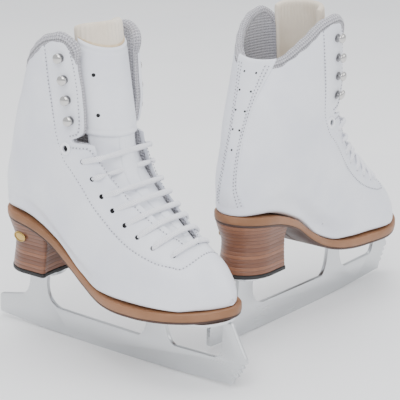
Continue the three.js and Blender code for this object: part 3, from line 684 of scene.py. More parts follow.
def sole_outline(inset, count=110):
    """Closed outline of the sole in plan, evenly spaced, drawn in by inset."""
    t = np.linspace(0, math.pi, 800)
    x = (SOLE_BACK + SOLE_FRONT) / 2 - (SOLE_FRONT - SOLE_BACK) / 2 * np.cos(t)
    inner = np.stack([x, sole_centre(x) + sole_half(x)], 1)
    outer = np.stack([x, sole_centre(x) - sole_half(x)], 1)
    ring = np.concatenate([inner, outer[-2:0:-1], inner[:1]])
    run = run_of(ring)
    even = at_run(np.linspace(0, run[-1], 2 * count, endpoint=False), run, ring)
    return even - outward_of(even) * inset


def flush_with_sole(points):
    """Moves points near the feather line out or in so that the leather meets the sole's edge all round:
    the distance in from the outline, up to reach, is replaced by a cubic that starts at a small
    margin, fully at the feather and fading out above it. The margin grows at the toe."""
    reach, fade = 16.0, 26.0
    flat = points.reshape(-1, 3).copy()
    outline = sole_outline(0.0)
    away = flat[:, None, :2] - outline[None]
    nearest = np.argmin((away**2).sum(2), 1)
    out = outward_of(outline)[nearest]
    inset = -(away[np.arange(len(flat)), nearest] * out).sum(1)
    height = flat[:, 2] - feather_z(flat[:, 0])
    margin = 0.7 + 3.2 * smoothstep(205, 250, outline[nearest, 0])
    wanted = margin + (reach - margin) * (np.clip(inset, 0, reach) / reach) ** 3
    share = smoothstep(1, fade, height)
    moved = np.where((inset < reach) & (height < fade), share * inset + (1 - share) * wanted, inset)
    flat[:, :2] += out * (inset - moved)[:, None]
    return flat.reshape(points.shape)


# ---- the upper ----
WALL = 3.0
LINING = 3.7
collar_top = through([20, 253], [36, 257.5], [60, 275.5], [84, 290.5], [98, 293], [112, 286], [130, 270])
THROAT_TOE, THROAT_ANKLE = 4.1, 8.2
throat_half = through([THROAT_TOE, 0.6], [THROAT_TOE + 0.06, 5], [THROAT_TOE + 0.25, 9.8],
                      [THROAT_TOE + 0.8, 13], [THROAT_ANKLE, 31], [9.6, 33])
LACE_HOLES = [[205.5, 117], [189, 122], [174, 129.5], [161, 138], [148, 149], [137, 160], [127, 174],
              [117, 188]]
HOOKS = [[104.4, 223], [101.7, 241.1], [99.9, 258.9], [97, 277.6]]
RING = [99.7, 197.7]
LACE_HOLE, HOOK_HOLE, RING_HOLE = 2.3, 1.6, 3.0  # radii
NOTCH_Z = 205.5
NOTCH_BACK = 107.0
CUTTER_SIDE = 90  # reach of the side cutters, past the skate's sides
# stitch lines on the side of the boot, as x and z
STITCH_LINES = {
    "behind_hooks": [[79.5, 287], [81, 273], [82.5, 257], [84.5, 240], [87, 220], [89.5, 206], [97, 188],
                     [107, 178], [118, 166], [129, 152.5], [142, 140], [155, 129.5], [170, 120],
                     [193, 111], [210, 107.5]],
    "cuff_front": [[104.5, 290], [108.5, 270], [110.5, 252], [112, 235], [112.5, 214], [104, 209]],
    "facing_edge": [[103.5, 199], [114, 199.5], [122, 199], [130, 190], [139.5, 178.5], [150, 166.5],
                    [162, 154.5], [176, 143.5], [190, 134.5], [203, 127.5]],
}
STITCH_APEX = {"behind_hooks": 3.35, "facing_edge": 3.95}  # section where each row rounds the toe


def with_tip(rings):
    """Adds three rings that close the toe end as a slightly domed tip."""
    centre = rings[0].mean(0)
    shrink = np.array([0.12, 0.4, 0.75])[:, None, None]
    tip = centre + (rings[0] - centre) * shrink + np.array([1.0, 0, 0]) * (1 - shrink**2)
    return np.concatenate([tip, rings])


def last_skin(inset, rows, cols, start):
    """Closed skin of the last, drawn in by inset: rings of points from section start to the collar."""
    s = np.linspace(start, LAST_END, rows)
    a = np.linspace(-math.pi, math.pi, cols, endpoint=False)
    return with_tip(last_point(s[:, None], a[None, :], inset))


def even_angles(s, cols):
    """Angles that cut each section of the last into equal lengths, all the way round."""
    fine = np.linspace(-math.pi, math.pi, 1441)
    ring = last_point(s[:, None], fine[None, :])
    lengths = np.cumsum(np.linalg.norm(np.diff(ring, axis=1), axis=2), 1)
    run = np.concatenate([np.zeros((len(s), 1)), lengths], 1)
    share = np.linspace(0, 1, cols, endpoint=False)
    return np.stack([np.interp(share * r[-1], r, fine) for r in run])


def side_path(xz, side, step, out):
    """Path on the last through x and z places on one side, with its surface normals."""
    s, a = on_last(resampled(xz, step), side)
    return last_offset(s, a, out), last_normal(s, a)


def toe_arc(start, apex, out):
    """Path round the toe end of the throat, from one side to the other: a quarter ellipse in section
    and angle on each side, from start to the front line at section apex."""
    (s0,), (a0,) = on_last([start], 1)
    turn = np.linspace(0, math.pi / 2, 30)
    s = apex + (s0 - apex) * (1 - np.sin(turn))
    a = a0 + (math.pi - a0) * (1 - np.cos(turn))
    s, a = np.concatenate([s, s[-2::-1]]), np.concatenate([a, 2 * math.pi - a[-2::-1]])
    return last_offset(s, a, out), last_normal(s, a)


def stitch_paths(step, out=0.0):
    """Every row of stitches on the boot, with the leather's normals."""
    paths = [side_path(line, side, step, out) for line in STITCH_LINES.values() for side in (-1, 1)]
    return paths + [toe_arc(STITCH_LINES[name][-1], apex, out) for name, apex in STITCH_APEX.items()]


def dent(points, normals, centres, depth, reach):
    """Sinks points near any of the centres: the depth falls off as a bell of the distance. The
    centres are taken in lots, to keep the arrays small."""
    lot = 60
    moved = points.reshape(-1, 3).copy()
    nearest = np.full(len(moved), 1e9)
    for start in range(0, len(centres), lot):
        d = np.linalg.norm(moved[:, None] - centres[None, start:start + lot], axis=2).min(1)
        nearest = np.minimum(nearest, d)
    moved -= normals.reshape(-1, 3) * (depth * np.exp(-((nearest / reach) ** 2)))[:, None]
    return moved.reshape(points.shape)


def cuff_outline(raise_by=0.0, forward=0.0):
    """Side outline of everything above the collar line and in front of the cuff, with the slit of the
    notch above the facings. raise_by and forward move its edge out for the lining."""
    x = np.linspace(-60, 99, 60)
    top = np.stack([x, collar_top(x) + raise_by], 1)
    corner = np.array([[104, 290.3], [107.3, 286.8], [108.8, 282]]) + [forward, raise_by]
    front = np.array([[110.3, 266], [112.6, 248], [114.6, 230], [115.6, 217], [115.2, 212.5],
                      [112.8, 209.3], [109.5, 207.8]]) + [forward, 0]
    slit = np.array([[NOTCH_BACK, 207], [NOTCH_BACK - 1.3, NOTCH_Z], [NOTCH_BACK, 204], [112, 203.4],
                     [119, 203.2], [126, 202.6], [150, 202], [190, 202]])
    far = np.array([[190, 420], [-60, 420]])
    return np.concatenate([top, corner, front, slit, far])


def throat_cutter():
    """Wedge that opens the gap between the facings: a rectangle at each section, from well behind the
    front line to well in front of it, as wide as the gap. The sections are close where it starts."""
    first = THROAT_TOE + np.array([0, 0.03, 0.06, 0.11, 0.17, 0.25, 0.4, 0.6, 0.8])
    s = np.concatenate([first, np.linspace(5.2, 9.6, 12)])
    bx, bz, fx, fz, _ = [curve(s) for curve in section_value]
    along = unit(np.stack([fx - bx, np.zeros_like(s), fz - bz], 1))
    front = np.stack([fx, ridge_y(s), fz], 1)
    depth = through([THROAT_TOE, 14], [5, 30], [7, 50], [THROAT_ANKLE, 60])(s)[:, None]
    low, high = front - along * depth, front + along * 40
    across = np.stack([np.zeros_like(s), throat_half(s), np.zeros_like(s)], 1)
    return closed_tube(np.stack([low - across, low + across, high + across, high - across], 1))


def hole_pins():
    """One short round pin through the leather for each lace hole, hook and ring eyelet."""
    sides = 16
    pins = []
    for side in (-1, 1):
        for places, radius in ((LACE_HOLES, LACE_HOLE), (HOOKS, HOOK_HOLE), ([RING], RING_HOLE)):
            for at, axis in seats(places, side):
                points, _ = turned([[radius, -9], [radius, 6]], at, axis, sides)
                pins.append(closed_tube(points.reshape(2, sides, 3)))
    return merge(pins)


def leather_rings():
    """Rings of the leather's face: flush with the sole, slack in slow waves above the foot, and sunk a
    little along the stitch lines."""
    s = np.linspace(0, LAST_END, 170)
    angle = even_angles(s, 190)
    skin = with_tip(last_point(s[:, None], angle))
    rings = skin[3:]
    normals = last_normal(s[:, None], angle)
    x, z = rings[..., 0], rings[..., 2]
    slack = 0.35 * np.sin(x * 0.11 + z * 0.07) * smoothstep(100, 150, z)
    rings = rings - normals * slack[..., None]
    seams = np.concatenate([points for points, _ in stitch_paths(1.2)])
    skin[3:] = dent(flush_with_sole(rings), normals, seams, 0.5, 1.5)
    return skin


def upper():
    """Leather of the boot: an outer and an inner skin of the last, opened at the collar, cuff and
    throat, with punched holes."""
    outside = build("upper", *closed_tube(leather_rings()))
    inside = build("upper_inside", *closed_tube(last_skin(WALL - 0.2, 60, 90, 0.35)))
    cuff = outward_solid("cuff_cutter", prism(cuff_outline(), -CUTTER_SIDE, CUTTER_SIDE))
    throat = outward_solid("throat_cutter", throat_cutter())
    pins = outward_solid("pins", hole_pins())
    weld(outside.data)
    weld(inside.data)
    return cut(outside, inside, cuff, throat, pins)


both("upper", upper(), WHITE, nodes=("quarter_outer", "quarter_inner"), crease=38,
     splay=True)


def lining():
    """Knit lining: a padded wall inside the leather that stands a little past the cuff's front edge.
    Its UV is flat on the side, in millimetres."""
    outer = outward_solid("lining", closed_tube(last_skin(WALL + 0.1, 90, 120, 2.0)))
    inner = outward_solid("lining_inside", closed_tube(last_skin(WALL + 0.1 + LINING, 70, 100, 2.4)))
    cuff = outward_solid("lining_cutter", prism(cuff_outline(1.5, -0.6), -CUTTER_SIDE, CUTTER_SIDE))
    throat = outward_solid("lining_throat", throat_cutter())
    mesh = cut(outer, inner, cuff, throat)
    x, y, z = vectors_of(mesh.vertices, "co").T
    set_uv(mesh, np.stack([x + y * 1.2, z], 1))
    return mesh


both("lining", lining(), KNIT, nodes=("collar_lining",), crease=40, splay=True)


TOP_X = np.linspace(98, 41, 12)
CUFF_FRONT = [[115.2, 214], [115.0, 222], [113.8, 238], [111.6, 258], [109.8, 272], [108.4, 283],
              [104.5, 289.5]]
COLLAR_EDGE = np.concatenate([CUFF_FRONT, np.stack([TOP_X, collar_top(TOP_X)], 1)])


def collar_line():
    """Sections and angles of the edge of the leather, up one cuff, round the collar and down the other."""
    s, a = on_last(resampled(COLLAR_EDGE, 2.0), 1)
    levels = np.linspace(12, LAST_END, 600)
    a_back = np.linspace(a[-1], 0, 14)[1:]
    s_back = []
    for angle in a_back:
        p = last_point(levels, angle)
        s_back.append(levels[np.argmin(np.abs(p[:, 2] - collar_top(p[:, 0])))])
    half = np.concatenate([np.stack([s, a], 1), np.stack([s_back, a_back], 1)])
    return np.concatenate([half, half[-2::-1] * [1, -1]])


def collar_roll():
    """Padded knit roll along the top line and down the cuff's front edges: a fat oval carried along
    the leather's edge, thinner where it runs down the front and rounded off at its ends."""
    path = collar_line()
    points = resampled(last_point(path[:, 0], path[:, 1]), 2.2)
    run = run_of(points)
    s, a = at_run(run / run[-1], np.linspace(0, 1, len(path)), path).T
    normal = last_normal(s, a)
    along = unit(np.gradient(points, axis=0))
    normal = unit(normal - (normal * along).sum(1, keepdims=True) * along)
    out = np.cross(along, normal)
    out *= np.sign((out * np.array([0, 0, 1.0])).sum(1).sum())
    down_front = smoothstep(283, 268, points[:, 2]) * smoothstep(95, 106, points[:, 0])
    ends = np.sqrt(np.clip(np.minimum(run, run[-1] - run) / 4, 0.02, 1))
    puff = 1 + 0.05 * np.sin(run * 0.45)
    thick = (4.1 - 1.9 * down_front) * ends * puff
    tall = (5.2 - 3.6 * down_front) * ends * puff
    sunk = (WALL + 0.2 + 0.8 * down_front)[:, None]
    centre = points - normal * sunk + out * (1.4 - 2.6 * down_front)[:, None]
    turn = circle(20)
    rings = (centre[:, None] + normal[:, None] * (thick[:, None] * np.cos(turn))[..., None]
             + out[:, None] * (tall[:, None] * np.sin(turn))[..., None])
    uv = np.stack(np.meshgrid(run, turn * 4.5, indexing="ij"), -1).reshape(-1, 2)
    obj = build("collar_roll", *closed_tube(rings), uv=uv)
    weld(obj.data, 0.001)
    return obj


for roll in both("collar_roll", collar_roll(), KNIT, splay=True):
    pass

# ---- backstay ----
backstay_edge = through([128, 17.5], [138, 15], [150, 11.5], [170, 9.5], [190, 9], [212, 10.5],
                        [230, 13.5], [246, 17.5], [258, 21])
STITCH_SHARES = (0.8, 0.62)  # how far out the backstay's rows of stitches are


def backstay_angle(s, half):
    """Angle from the back line at which the last is half wide, found on a fine scale."""
    fine = np.linspace(0, 1.5, 400)
    width = last_point(s[:, None], fine[None, :])[..., 1] - last_point(s[:, None], 0 * fine[None, :])[..., 1]
    return np.stack([np.interp(h, w, fine) for w, h in zip(width, half)])


def backstay():
    """Strip up the back seam, laid on the leather: wide at the heel and at the collar, narrow at the
    ankle, with a rounded edge all round and a groove under each row of stitches."""
    rows = 90
    s = np.linspace(11.12, 17.05, rows)
    share = np.linspace(-1, 1, 41)
    out = np.abs(share)
    fade = np.sqrt(np.clip(np.minimum(np.arange(rows), rows - 1 - np.arange(rows)) / 3, 0, 1))
    angle = backstay_angle(s, backstay_edge(section_value[1](s)))[:, None] * share[None, :]
    lift = 1.25 * rounded((out - 0.93) / 0.07)[None, :] * fade[:, None]
    groove = sum(np.exp(-(((out - at) / 0.05) ** 2)) for at in STITCH_SHARES)
    lift = lift - 0.25 * groove[None, :] * (fade[:, None] > 0.9)
    s = s[:, None]
    return outward_solid("backstay", slab(last_offset(s, angle, lift), last_offset(s, angle, -0.6)))


both("backstay", backstay(), WHITE, nodes=("backstay",))


def backstay_rows(share):
    """Path up the backstay a given share of the way to its edge, on both sides."""
    s = np.linspace(11.4, 16.8, 60)
    angle = backstay_angle(s, backstay_edge(section_value[1](s)) * share)
    return [(last_offset(s, side * angle, 1.2), last_normal(s, side * angle)) for side in (-1, 1)]


# ---- stitching ----
def on_rows(paths, places):
    """For each path, its points and normals at the runs that places gives for its length."""
    for points, normals in paths:
        run = run_of(points)
        at = places(run[-1])
        yield at_run(at, run, points), unit(at_run(at, run, normals))


def stitches(paths, length=2.3, spacing=3.3, width=0.42, lift=0.16):
    """Short thread ends along each path: a six-sided bead, thinner at its tips, every spacing."""
    def places(end):
        return np.arange(spacing / 2, end - length, spacing)[:, None] + np.linspace(0, length, 4)[None, :]

    parts = []
    radius = width * np.array([0.45, 1.0, 1.0, 0.45])
    turn = circle(6)
    for p, n in on_rows(paths, places):
        across = np.cross(unit(p[:, -1:] - p[:, :1]), n)
        ring = (p[:, :, None] + n[:, :, None] * lift
                + across[:, :, None] * (radius[None, :, None] * np.cos(turn))[..., None]
                + n[:, :, None] * (0.7 * radius[None, :, None] * np.sin(turn))[..., None])
        parts += [closed_tube(each) for each in ring]
    return merge(parts)


def needle_holes(paths, spacing=3.3, radius=0.62):
    """Small sunk discs of painted grey shade where the thread goes through the leather, one between every two
    stitches.
    """
    parts = []
    turn = circle(7)
    for p, n in on_rows(paths, lambda end: np.arange(spacing * 0.35, end, spacing)):
        side = unit(np.cross(n, [0.3, 0.2, 1.0]))
        other = np.cross(n, side)
        spoke = np.cos(turn)[None, :, None] * side[:, None] + np.sin(turn)[None, :, None] * other[:, None]
        low = p[:, None] - 0.5 * n[:, None] + radius * spoke
        high = p[:, None] + 0.3 * n[:, None] + radius * spoke
        parts += [closed_tube(each) for each in np.stack([low, high], 1)]
    return merge(parts)


BOOT_ROWS = stitch_paths(1.0, -0.25) + sum([backstay_rows(share) for share in STITCH_SHARES], [])
both("stitching", build("stitching", *stitches(BOOT_ROWS)), STITCH, splay=True)
# Grey discs at the needle holes are painted shade.
both("needle_holes", build("needle_holes", *needle_holes(BOOT_ROWS)), NEEDLE_SHADE,
     splay=True)

PERFORATIONS = ((251, 6.5), (235, 6.2), (218, 5), (201.5, 3.6), (184, 0))  # height and half spacing


def perforations():
    """Small dimples painted dark as the shade in the backstay's holes: four pairs and one at the bottom."""
    parts = []
    profile = [[0.01, 0.22], [0.9, 0.22], [1.15, 0.1], [1.15, -0.6], [0.01, -0.6]]
    levels = np.linspace(12, 17.5, 800)
    for z, half in PERFORATIONS:
        s = levels[[np.argmin(np.abs(last_point(levels, 0 * levels)[:, 2] - z))]]
        for side in ((-1, 1) if half else (1,)):
            a = side * backstay_angle(s, [max(half, 0.01)])
            parts.append(turned(profile, last_offset(s, a, 1.12)[0], last_normal(s, a)[0], 12))
    return build("perforations", *merge(parts))


both("perforations", perforations(), SHADOW_HOLE)

# ---- tongue ----
TONGUE_LOW, TONGUE_TOP = 207.0, 300.3
TONGUE_HALF, TONGUE_MIDDLE = 28, 1.2
TONGUE_EDGE, EDGE_LEAN = 103, 6  # x of its side edges at the bottom, and how far back they lean
TONGUE_FRONT, FRONT_LEAN = 137.5, 16  # the same for its front
FLAP_REACH = 0.9  # how far round the leather goes, as a share of the tongue
FLAP_PUFF, FLAP_THICK = 0.8, 2.6
SEAM_IN = 5.2  # from the flap's top and bottom edges to its seams


def tongue_surface(z, across, inset=0.0):
    """Front face of the upper tongue: half an ellipse in plan that wraps round the ankle, its side
    edges inside the cuff, leaning back with height. across runs from -1 to 1 round it."""
    z, across = np.broadcast_arrays(np.asarray(z, float), np.asarray(across, float))
    u = (z - TONGUE_LOW) / (TONGUE_TOP - TONGUE_LOW)
    edge, front = TONGUE_EDGE - EDGE_LEAN * u, TONGUE_FRONT - FRONT_LEAN * u
    turn = across * math.pi / 2
    forward = np.maximum(0, np.cos(turn)) ** 0.95
    x = edge + (front - edge - inset) * forward
    return np.stack([x, TONGUE_MIDDLE + (TONGUE_HALF - inset) * np.sin(turn), z], -1)


def tongue_normal(z, across):
    step = 0.01
    along = tongue_surface(z + 1, across) - tongue_surface(z - 1, across)
    around = tongue_surface(z, across + step) - tongue_surface(z, across - step)
    return unit(np.cross(around, along))


def flap_top(v):
    """Height of the top edge of the tongue's leather: it dips in the middle."""
    return 284.5 + 12 * v**2


def flap_bottom(v):
    return TONGUE_LOW + 0.5 + 2.5 * v**4


def flap_puff(v):
    return FLAP_PUFF * np.cos(v * 1.5)


def tongue_flap():
    """White leather face of the tongue: its bottom edge is nearly straight and its top edge dips in
    the middle; it is puffed slightly between them, sunk along its seams and rolls back at its rim."""
    u, v = np.meshgrid(np.linspace(0, 1, 70), np.linspace(-FLAP_REACH, FLAP_REACH, 90), indexing="ij")
    z = flap_bottom(v) + (flap_top(v) - flap_bottom(v)) * u
    end = np.minimum(u, 1 - u) * 78
    edge = np.minimum((FLAP_REACH - np.abs(v)) * 45, end)
    roll = 2.0 * (1 - np.clip(edge / 2.6, 0, 1)) ** 2
    seam = 0.5 * np.exp(-(((end - SEAM_IN) / 1.1) ** 2))
    n = tongue_normal(z, v)
    front = tongue_surface(z, v) + n * (flap_puff(v) - roll - seam)[..., None]
    return outward_solid("tongue_flap", slab(front, tongue_surface(z, v) - n * FLAP_THICK))


def tongue_pad():
    """Cream padding behind the tongue's leather: a plump sheet that rises above it, gathered upright."""
    u, v = np.meshgrid(np.linspace(0, 1, 80), np.linspace(-1, 1, 130), indexing="ij")
    low, high = 212, 306.5 - 4.0 * v**4
    z = low + (high - low) * u
    above = smoothstep(276, 296, z)
    round_top, round_side = rounded((z - high + 5) / 5), rounded((np.abs(v) - 0.93) / 0.07)
    gather = 0.28 * np.sin(v * 55 + 0.5 * np.sin(z * 0.2)) * above
    half = ((1.8 + 0.7 * above) * round_side + gather) * round_top
    n = tongue_normal(z, v)
    front = tongue_surface(z, v, 4.4) + n * (half + 0.6 * above)[..., None]
    back = tongue_surface(z, v, 4.8) - n * (half - 0.3 * above)[..., None]
    return outward_solid("tongue_pad", slab(front, back))


def along_flap(height, reach, out):
    """Path across the tongue at a height given for each share across, raised from its face by out."""
    v = np.linspace(-reach, reach, 110)
    z = height(v)
    n = tongue_normal(z, v)
    return tongue_surface(z, v) + n * (out + flap_puff(v))[:, None], n


TONGUE_SEAMS = [along_flap(lambda v: flap_top(v) - SEAM_IN, 0.86, -0.75),
                along_flap(lambda v: flap_bottom(v) + SEAM_IN, 0.86, -0.75)]


def tongue_piping():
    p, n = along_flap(lambda v: flap_top(v) + 0.4, FLAP_REACH, -FLAP_THICK)
    return outward_solid("tongue_piping", swept(p, oval(1.2, 1.2, 12), n))


# Two dark discs on the tongue's face: painted shade for the inside of its two holes.
def tongue_holes():
    profile = [[0.01, 0.75], [1.4, 0.75], [1.8, 0.45], [1.8, -1.0], [0.01, -1.0]]
    parts = [turned(profile, tongue_surface(z, v), tongue_normal(np.array(z), np.array(v)), 16)
             for z, v in ((262, -0.6), (227, -0.6))]
    return build("tongue_holes", *merge(parts))


both("tongue_flap", tongue_flap(), WHITE, body="tongue", nodes=("tongue_upper",))
for pad in both("tongue_pad", tongue_pad(), CREAM, body="tongue"):
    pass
both("tongue_stitching", build("tongue_stitching", *stitches(TONGUE_SEAMS, 1.9, 2.9)), STITCH,
     body="tongue")
# Grey discs at the tongue's needle holes: painted shade.
both("tongue_needle_holes", build("tongue_needle_holes", *needle_holes(TONGUE_SEAMS, 2.9, 0.5)), NEEDLE_SHADE,
     body="tongue")
both("tongue_piping", tongue_piping(), PIPING, body="tongue")
both("tongue_holes", tongue_holes(), SHADOW_HOLE, body="tongue")


def facing_edge(s, side):
    return last_point(s, side * (math.pi - front_angle(s, throat_half(s) + 1)))


def across_throat(s, v, inset, crown=8.0):
    """Surface under the lace: straight across between the two facing edges, set back by inset, its
    middle standing forward by the crown."""
    outer, inner = facing_edge(s, -1), facing_edge(s, 1)
    lift = crown * (1 - (2 * v - 1) ** 2) - inset
    return outer + (inner - outer) * v[..., None] + last_normal(s, math.pi) * lift[..., None]


TONGUE_INSET = WALL + 5.6
BEHIND_FLAP = 3.2
KEEPER_HALF = 0.14  # as a share of the throat's width


def under_lace(s, v, inset):
    """Surface of the lower tongue at section s: across the throat below, and at its top blended into
    the upper tongue's own surface just behind the flap. v runs from 0 to 1 across it."""
    top = smoothstep(7.2, 8.6, s)[..., None]
    throat = across_throat(np.minimum(s, 8.9), v, inset)
    height = 190 + 26 * smoothstep(7.2, 9.4, s)
    ankle = tongue_surface(height, (2 * v - 1) * FLAP_REACH, inset - TONGUE_INSET + BEHIND_FLAP)
    return throat * (1 - top) + ankle * top


def lower_tongue():
    """Padded leather under the lace, from the toe of the throat to behind the upper tongue."""
    s, v = np.meshgrid(np.linspace(4.25, 9.4, 80), np.linspace(0.02, 0.98, 44), indexing="ij")
    front, back = under_lace(s, v, TONGUE_INSET - 0.8), under_lace(s, v, TONGUE_INSET + 3.2)
    return outward_solid("lower_tongue", slab(front, back))


both("lower_tongue", lower_tongue(), WHITE, nodes=("tongue_lower",))


def keeper():
    """Strip sewn up the middle of the lower tongue, its long edges rounded."""
    s, v = np.meshgrid(np.linspace(4.6, 8.6, 60), np.linspace(-1, 1, 11), indexing="ij")
    across = 0.5 + KEEPER_HALF * v
    top = under_lace(s, across, TONGUE_INSET - 0.9 - 0.9 * rounded((np.abs(v) - 0.7) / 0.3))
    return outward_solid("keeper", slab(top, under_lace(s, across, TONGUE_INSET - 0.2)))


both("keeper", keeper(), WHITE, nodes=("lace_keeper",))


# ---- lace ----
def bar_points(row, count=9):
    """Points of the leather straight across the throat from one lace hole to the one opposite, in the
    plane that holds both holes and the leather's normal between them, by Newton's method on y and
    on the distance from that plane."""
    (s0,), (a0,) = on_last([LACE_HOLES[row]], 1)
    hole = last_point(s0, a0)
    middle_y = float(ridge_y(s0))
    out = last_normal(s0, math.pi)
    square = np.array([out[2], 0, -out[0]])
    y = np.linspace(hole[1], middle_y, count)
    s, a = np.full(count, s0), np.linspace(a0, math.pi - 0.05, count)
    step = 0.01

    def miss(s, a):
        p = last_point(s, a)
        return p[:, 1] - y, (p - hole) @ square

    for _ in range(30):
        f, g = miss(s, a)
        fs, gs = miss(s + step, a)
        fa, ga = miss(s, a + step)
        fs, gs, fa, ga = (fs - f) / step, (gs - g) / step, (fa - f) / step, (ga - g) / step
        det = fs * ga - fa * gs
        s = np.clip(s - 0.5 * (f * ga - g * fa) / det, 2, LAST_END)
        a = np.clip(a - 0.5 * (g * fs - f * gs) / det, 0.3, math.pi)
    return s, a, out


def lace_path():
    """Route of the lace from the toe up: out of a hole, up the facing to its edge, straight across
    with a slight bow, down the facing opposite and in at its hole, then up inside to the next row."""
    over, under, bow = 1.7, -(WALL + 3.2), 1.8
    points, normals = [], []
    side = -1
    for row in range(len(LACE_HOLES)):
        s, a, out = bar_points(row)
        p, n = last_point(s, a), last_normal(s, a)
        edge = int(np.argmax(p[:, 1] - ridge_y(s) < throat_half(s) + 1.0))
        ups = [(p[0] + n[0] * under, n[0]), (p[0] - n[0] * 1.0, n[0])]
        ups += [(p[k] + n[k] * over, n[k]) for k in range(1, edge + 1)]
        ups[-1] = (ups[-1][0] + n[edge] * 0.6, n[edge])
        near = [(q * [1, side, 1], m * [1, side, 1]) for q, m in ups]
        far = [(q * [1, -side, 1], m * [1, -side, 1]) for q, m in ups[::-1]]
        middle = ((near[-1][0] + far[0][0]) / 2 + out * bow, out)
        for q, m in near + [middle] + far:
            points.append(q)
            normals.append(m)
        side = -side
    return np.array(points), np.array(normals)


LACE_WIDE, LACE_THICK = 2.6, 1.6  # half sizes of the lace


def lace():
    """Flat woven lace: an oval carried along its route, face up where it shows and drawn in where it
    goes through a hole. Its UV is u round it and v along it in millimetres."""
    points, normals = lace_path()
    both_ways = resampled(np.concatenate([points, normals * 8], 1), 1.3)
    path, up = both_ways[:, :3], unit(both_ways[:, 3:])
    for _ in range(2):
        path[1:-1] = (path[:-2] + 2 * path[1:-1] + path[2:]) / 4
    along = unit(np.gradient(path, axis=0))
    steep = np.abs((along * up).sum(1))
    pinch = 1 - 0.45 * smoothstep(0.35, 0.85, steep)
    turn = circle(14)
    thick = LACE_THICK * np.sign(np.sin(turn)) * np.abs(np.sin(turn)) ** 0.9
    flat = np.stack([LACE_WIDE * np.cos(turn), thick], 1)
    section = flat[None] * np.stack([pinch, np.ones_like(pinch)], 1)[:, None]
    rings, faces = swept(path, section, up + 1e-3)
    uv = np.stack(np.meshgrid(run_of(path), turn / (2 * math.pi), indexing="ij")[::-1], -1).reshape(-1, 2)
    obj = build("lace", rings, faces, uv=uv)
    weld(obj.data, 0.0005)
    return obj


both("lace", lace(), LACE, nodes=("lace",))


# ---- hooks and eyelets ----
def hook_profile(kind):
    """Half section of a boot hook's domed head or of its stem with a flat foot."""
    if kind == "stem":
        return [[0.01, -2], [1.5, -2], [1.5, 0.1], [3.9, 0.1], [4.0, 0.7], [2.2, 1.1], [1.7, 2.2],
                [2.0, 3.7], [0.01, 3.7]]
    t = np.linspace(0, math.pi / 2, 9)
    dome = np.stack([4.5 * np.cos(t), 5.0 + 2.3 * np.sin(t)], 1)
    dome[-1, 0] = 0.01
    return np.concatenate([[[0.01, 3.4], [2.6, 3.5], [4.1, 4.1]], dome])


def hook_shapes(kind):
    """The heads or the stems of all the boot hooks."""
    parts = [turned(hook_profile(kind), at, axis, 28) for side in (-1, 1) for at, axis in seats(HOOKS, side)]
    return outward_solid("hook_" + kind, merge(parts))


HOOK_NODES = [f"hook_{side}_{i}" for side in ("outer", "inner") for i in range(1, 5)]
both("hook_heads", hook_shapes("head"), NICKEL, nodes=HOOK_NODES, crease=50, splay=True)
# The stems take the darker grey: painted shade under the hook heads.
both("hook_stems", hook_shapes("stem"), MATT_SHADED_NICKEL, crease=50, splay=True)


def hole_shadows():
    """Plugs painted dark as the shade deep in the punched holes and ring eyelets, so they read as open."""
    parts = []
    for side in (-1, 1):
        for places, hole in ((LACE_HOLES, LACE_HOLE), ([RING], RING_HOLE)):
            radius = hole - 0.02
            profile = [[0.01, -1.3], [radius, -1.3], [radius, -2.7], [0.01, -2.7]]
            parts += [turned(profile, at, axis, 14) for at, axis in seats(places, side)]
    return build("hole_shadows", *merge(parts))


both("hole_shadows", hole_shadows(), SHADOW_HOLE)


def rings():
    """White ring eyelets: a rounded washer set in the leather."""
    around, sides = 14, 32
    profile = oval(1.6, 0.95, around) + [4.4, 0.55]
    parts = []
    for side in (-1, 1):
        for at, axis in seats([RING], side):
            points, _ = turned(profile, at, axis, sides)
            parts.append((points, quads(around, sides, wrap_rows=True, wrap_cols=True)))
    return outward_solid("rings", merge(parts))


both("ring_eyelets", rings(), ENAMEL, nodes=("ring_eyelet_outer", "ring_eyelet_inner"))


# ---- sole ----
BAND, OUTSOLE_THICK = 7.3, 2.4


def sole_top(x):
    return feather_z(x) - 0.1


def outsole_top(x):
    return sole_top(x) - BAND


def outsole_low(x):
    return outsole_top(x) - OUTSOLE_THICK


def sole_layer(name, low, high, profile):
    """Slab that follows the sole: its edge is a profile of [share of height, inset] rings, and its top
    and bottom are filled by shrinking the outline to a spine."""
    rows = []
    for share, inset in profile:
        ring = sole_outline(inset)
        z = low(ring[:, 0]) + (high(ring[:, 0]) - low(ring[:, 0])) * share
        rows.append(np.column_stack([ring, z]))
    fills = []
    for ring, surface in ((rows[0], low), (rows[-1], high)):
        x = np.clip(ring[:, 0], 24, 215)
        spine = np.column_stack([x, sole_centre(x), ring[:, 2]])
        steps = [ring + (spine - ring) * share for share in (0.5, 0.96)]
        for p in steps:
            p[:, 2] = surface(p[:, 0])
        fills.append(steps)
    return outward_solid(name, closed_tube(np.array(fills[0][::-1] + rows + fills[1])))


BAND_EDGE = [(0, 0.6), (0.08, 0.15), (0.3, 0), (0.85, 0.1), (0.96, 0.5), (1, 1.2)]
OUTSOLE_EDGE = [(0, 1.3), (0.3, 0.7), (0.8, 0.6), (1, 0.9)]
both("midsole", sole_layer("midsole", outsole_top, sole_top, BAND_EDGE), TAN, nodes=("midsole",),
     crease=50)
both("outsole", sole_layer("outsole", outsole_low, outsole_top, OUTSOLE_EDGE), OUTSOLE,
     nodes=("outsole",), crease=50)

# ---- heel ----
heel_flare = through([0, 26.6], [0.4, 24.8], [0.75, 29.2], [1, 31])
heel_back = through([0, -2.4], [0.4, 1.0], [0.75, -5.0], [1, -5.8])
CORNER = 3  # radius where the heel's side meets its breast


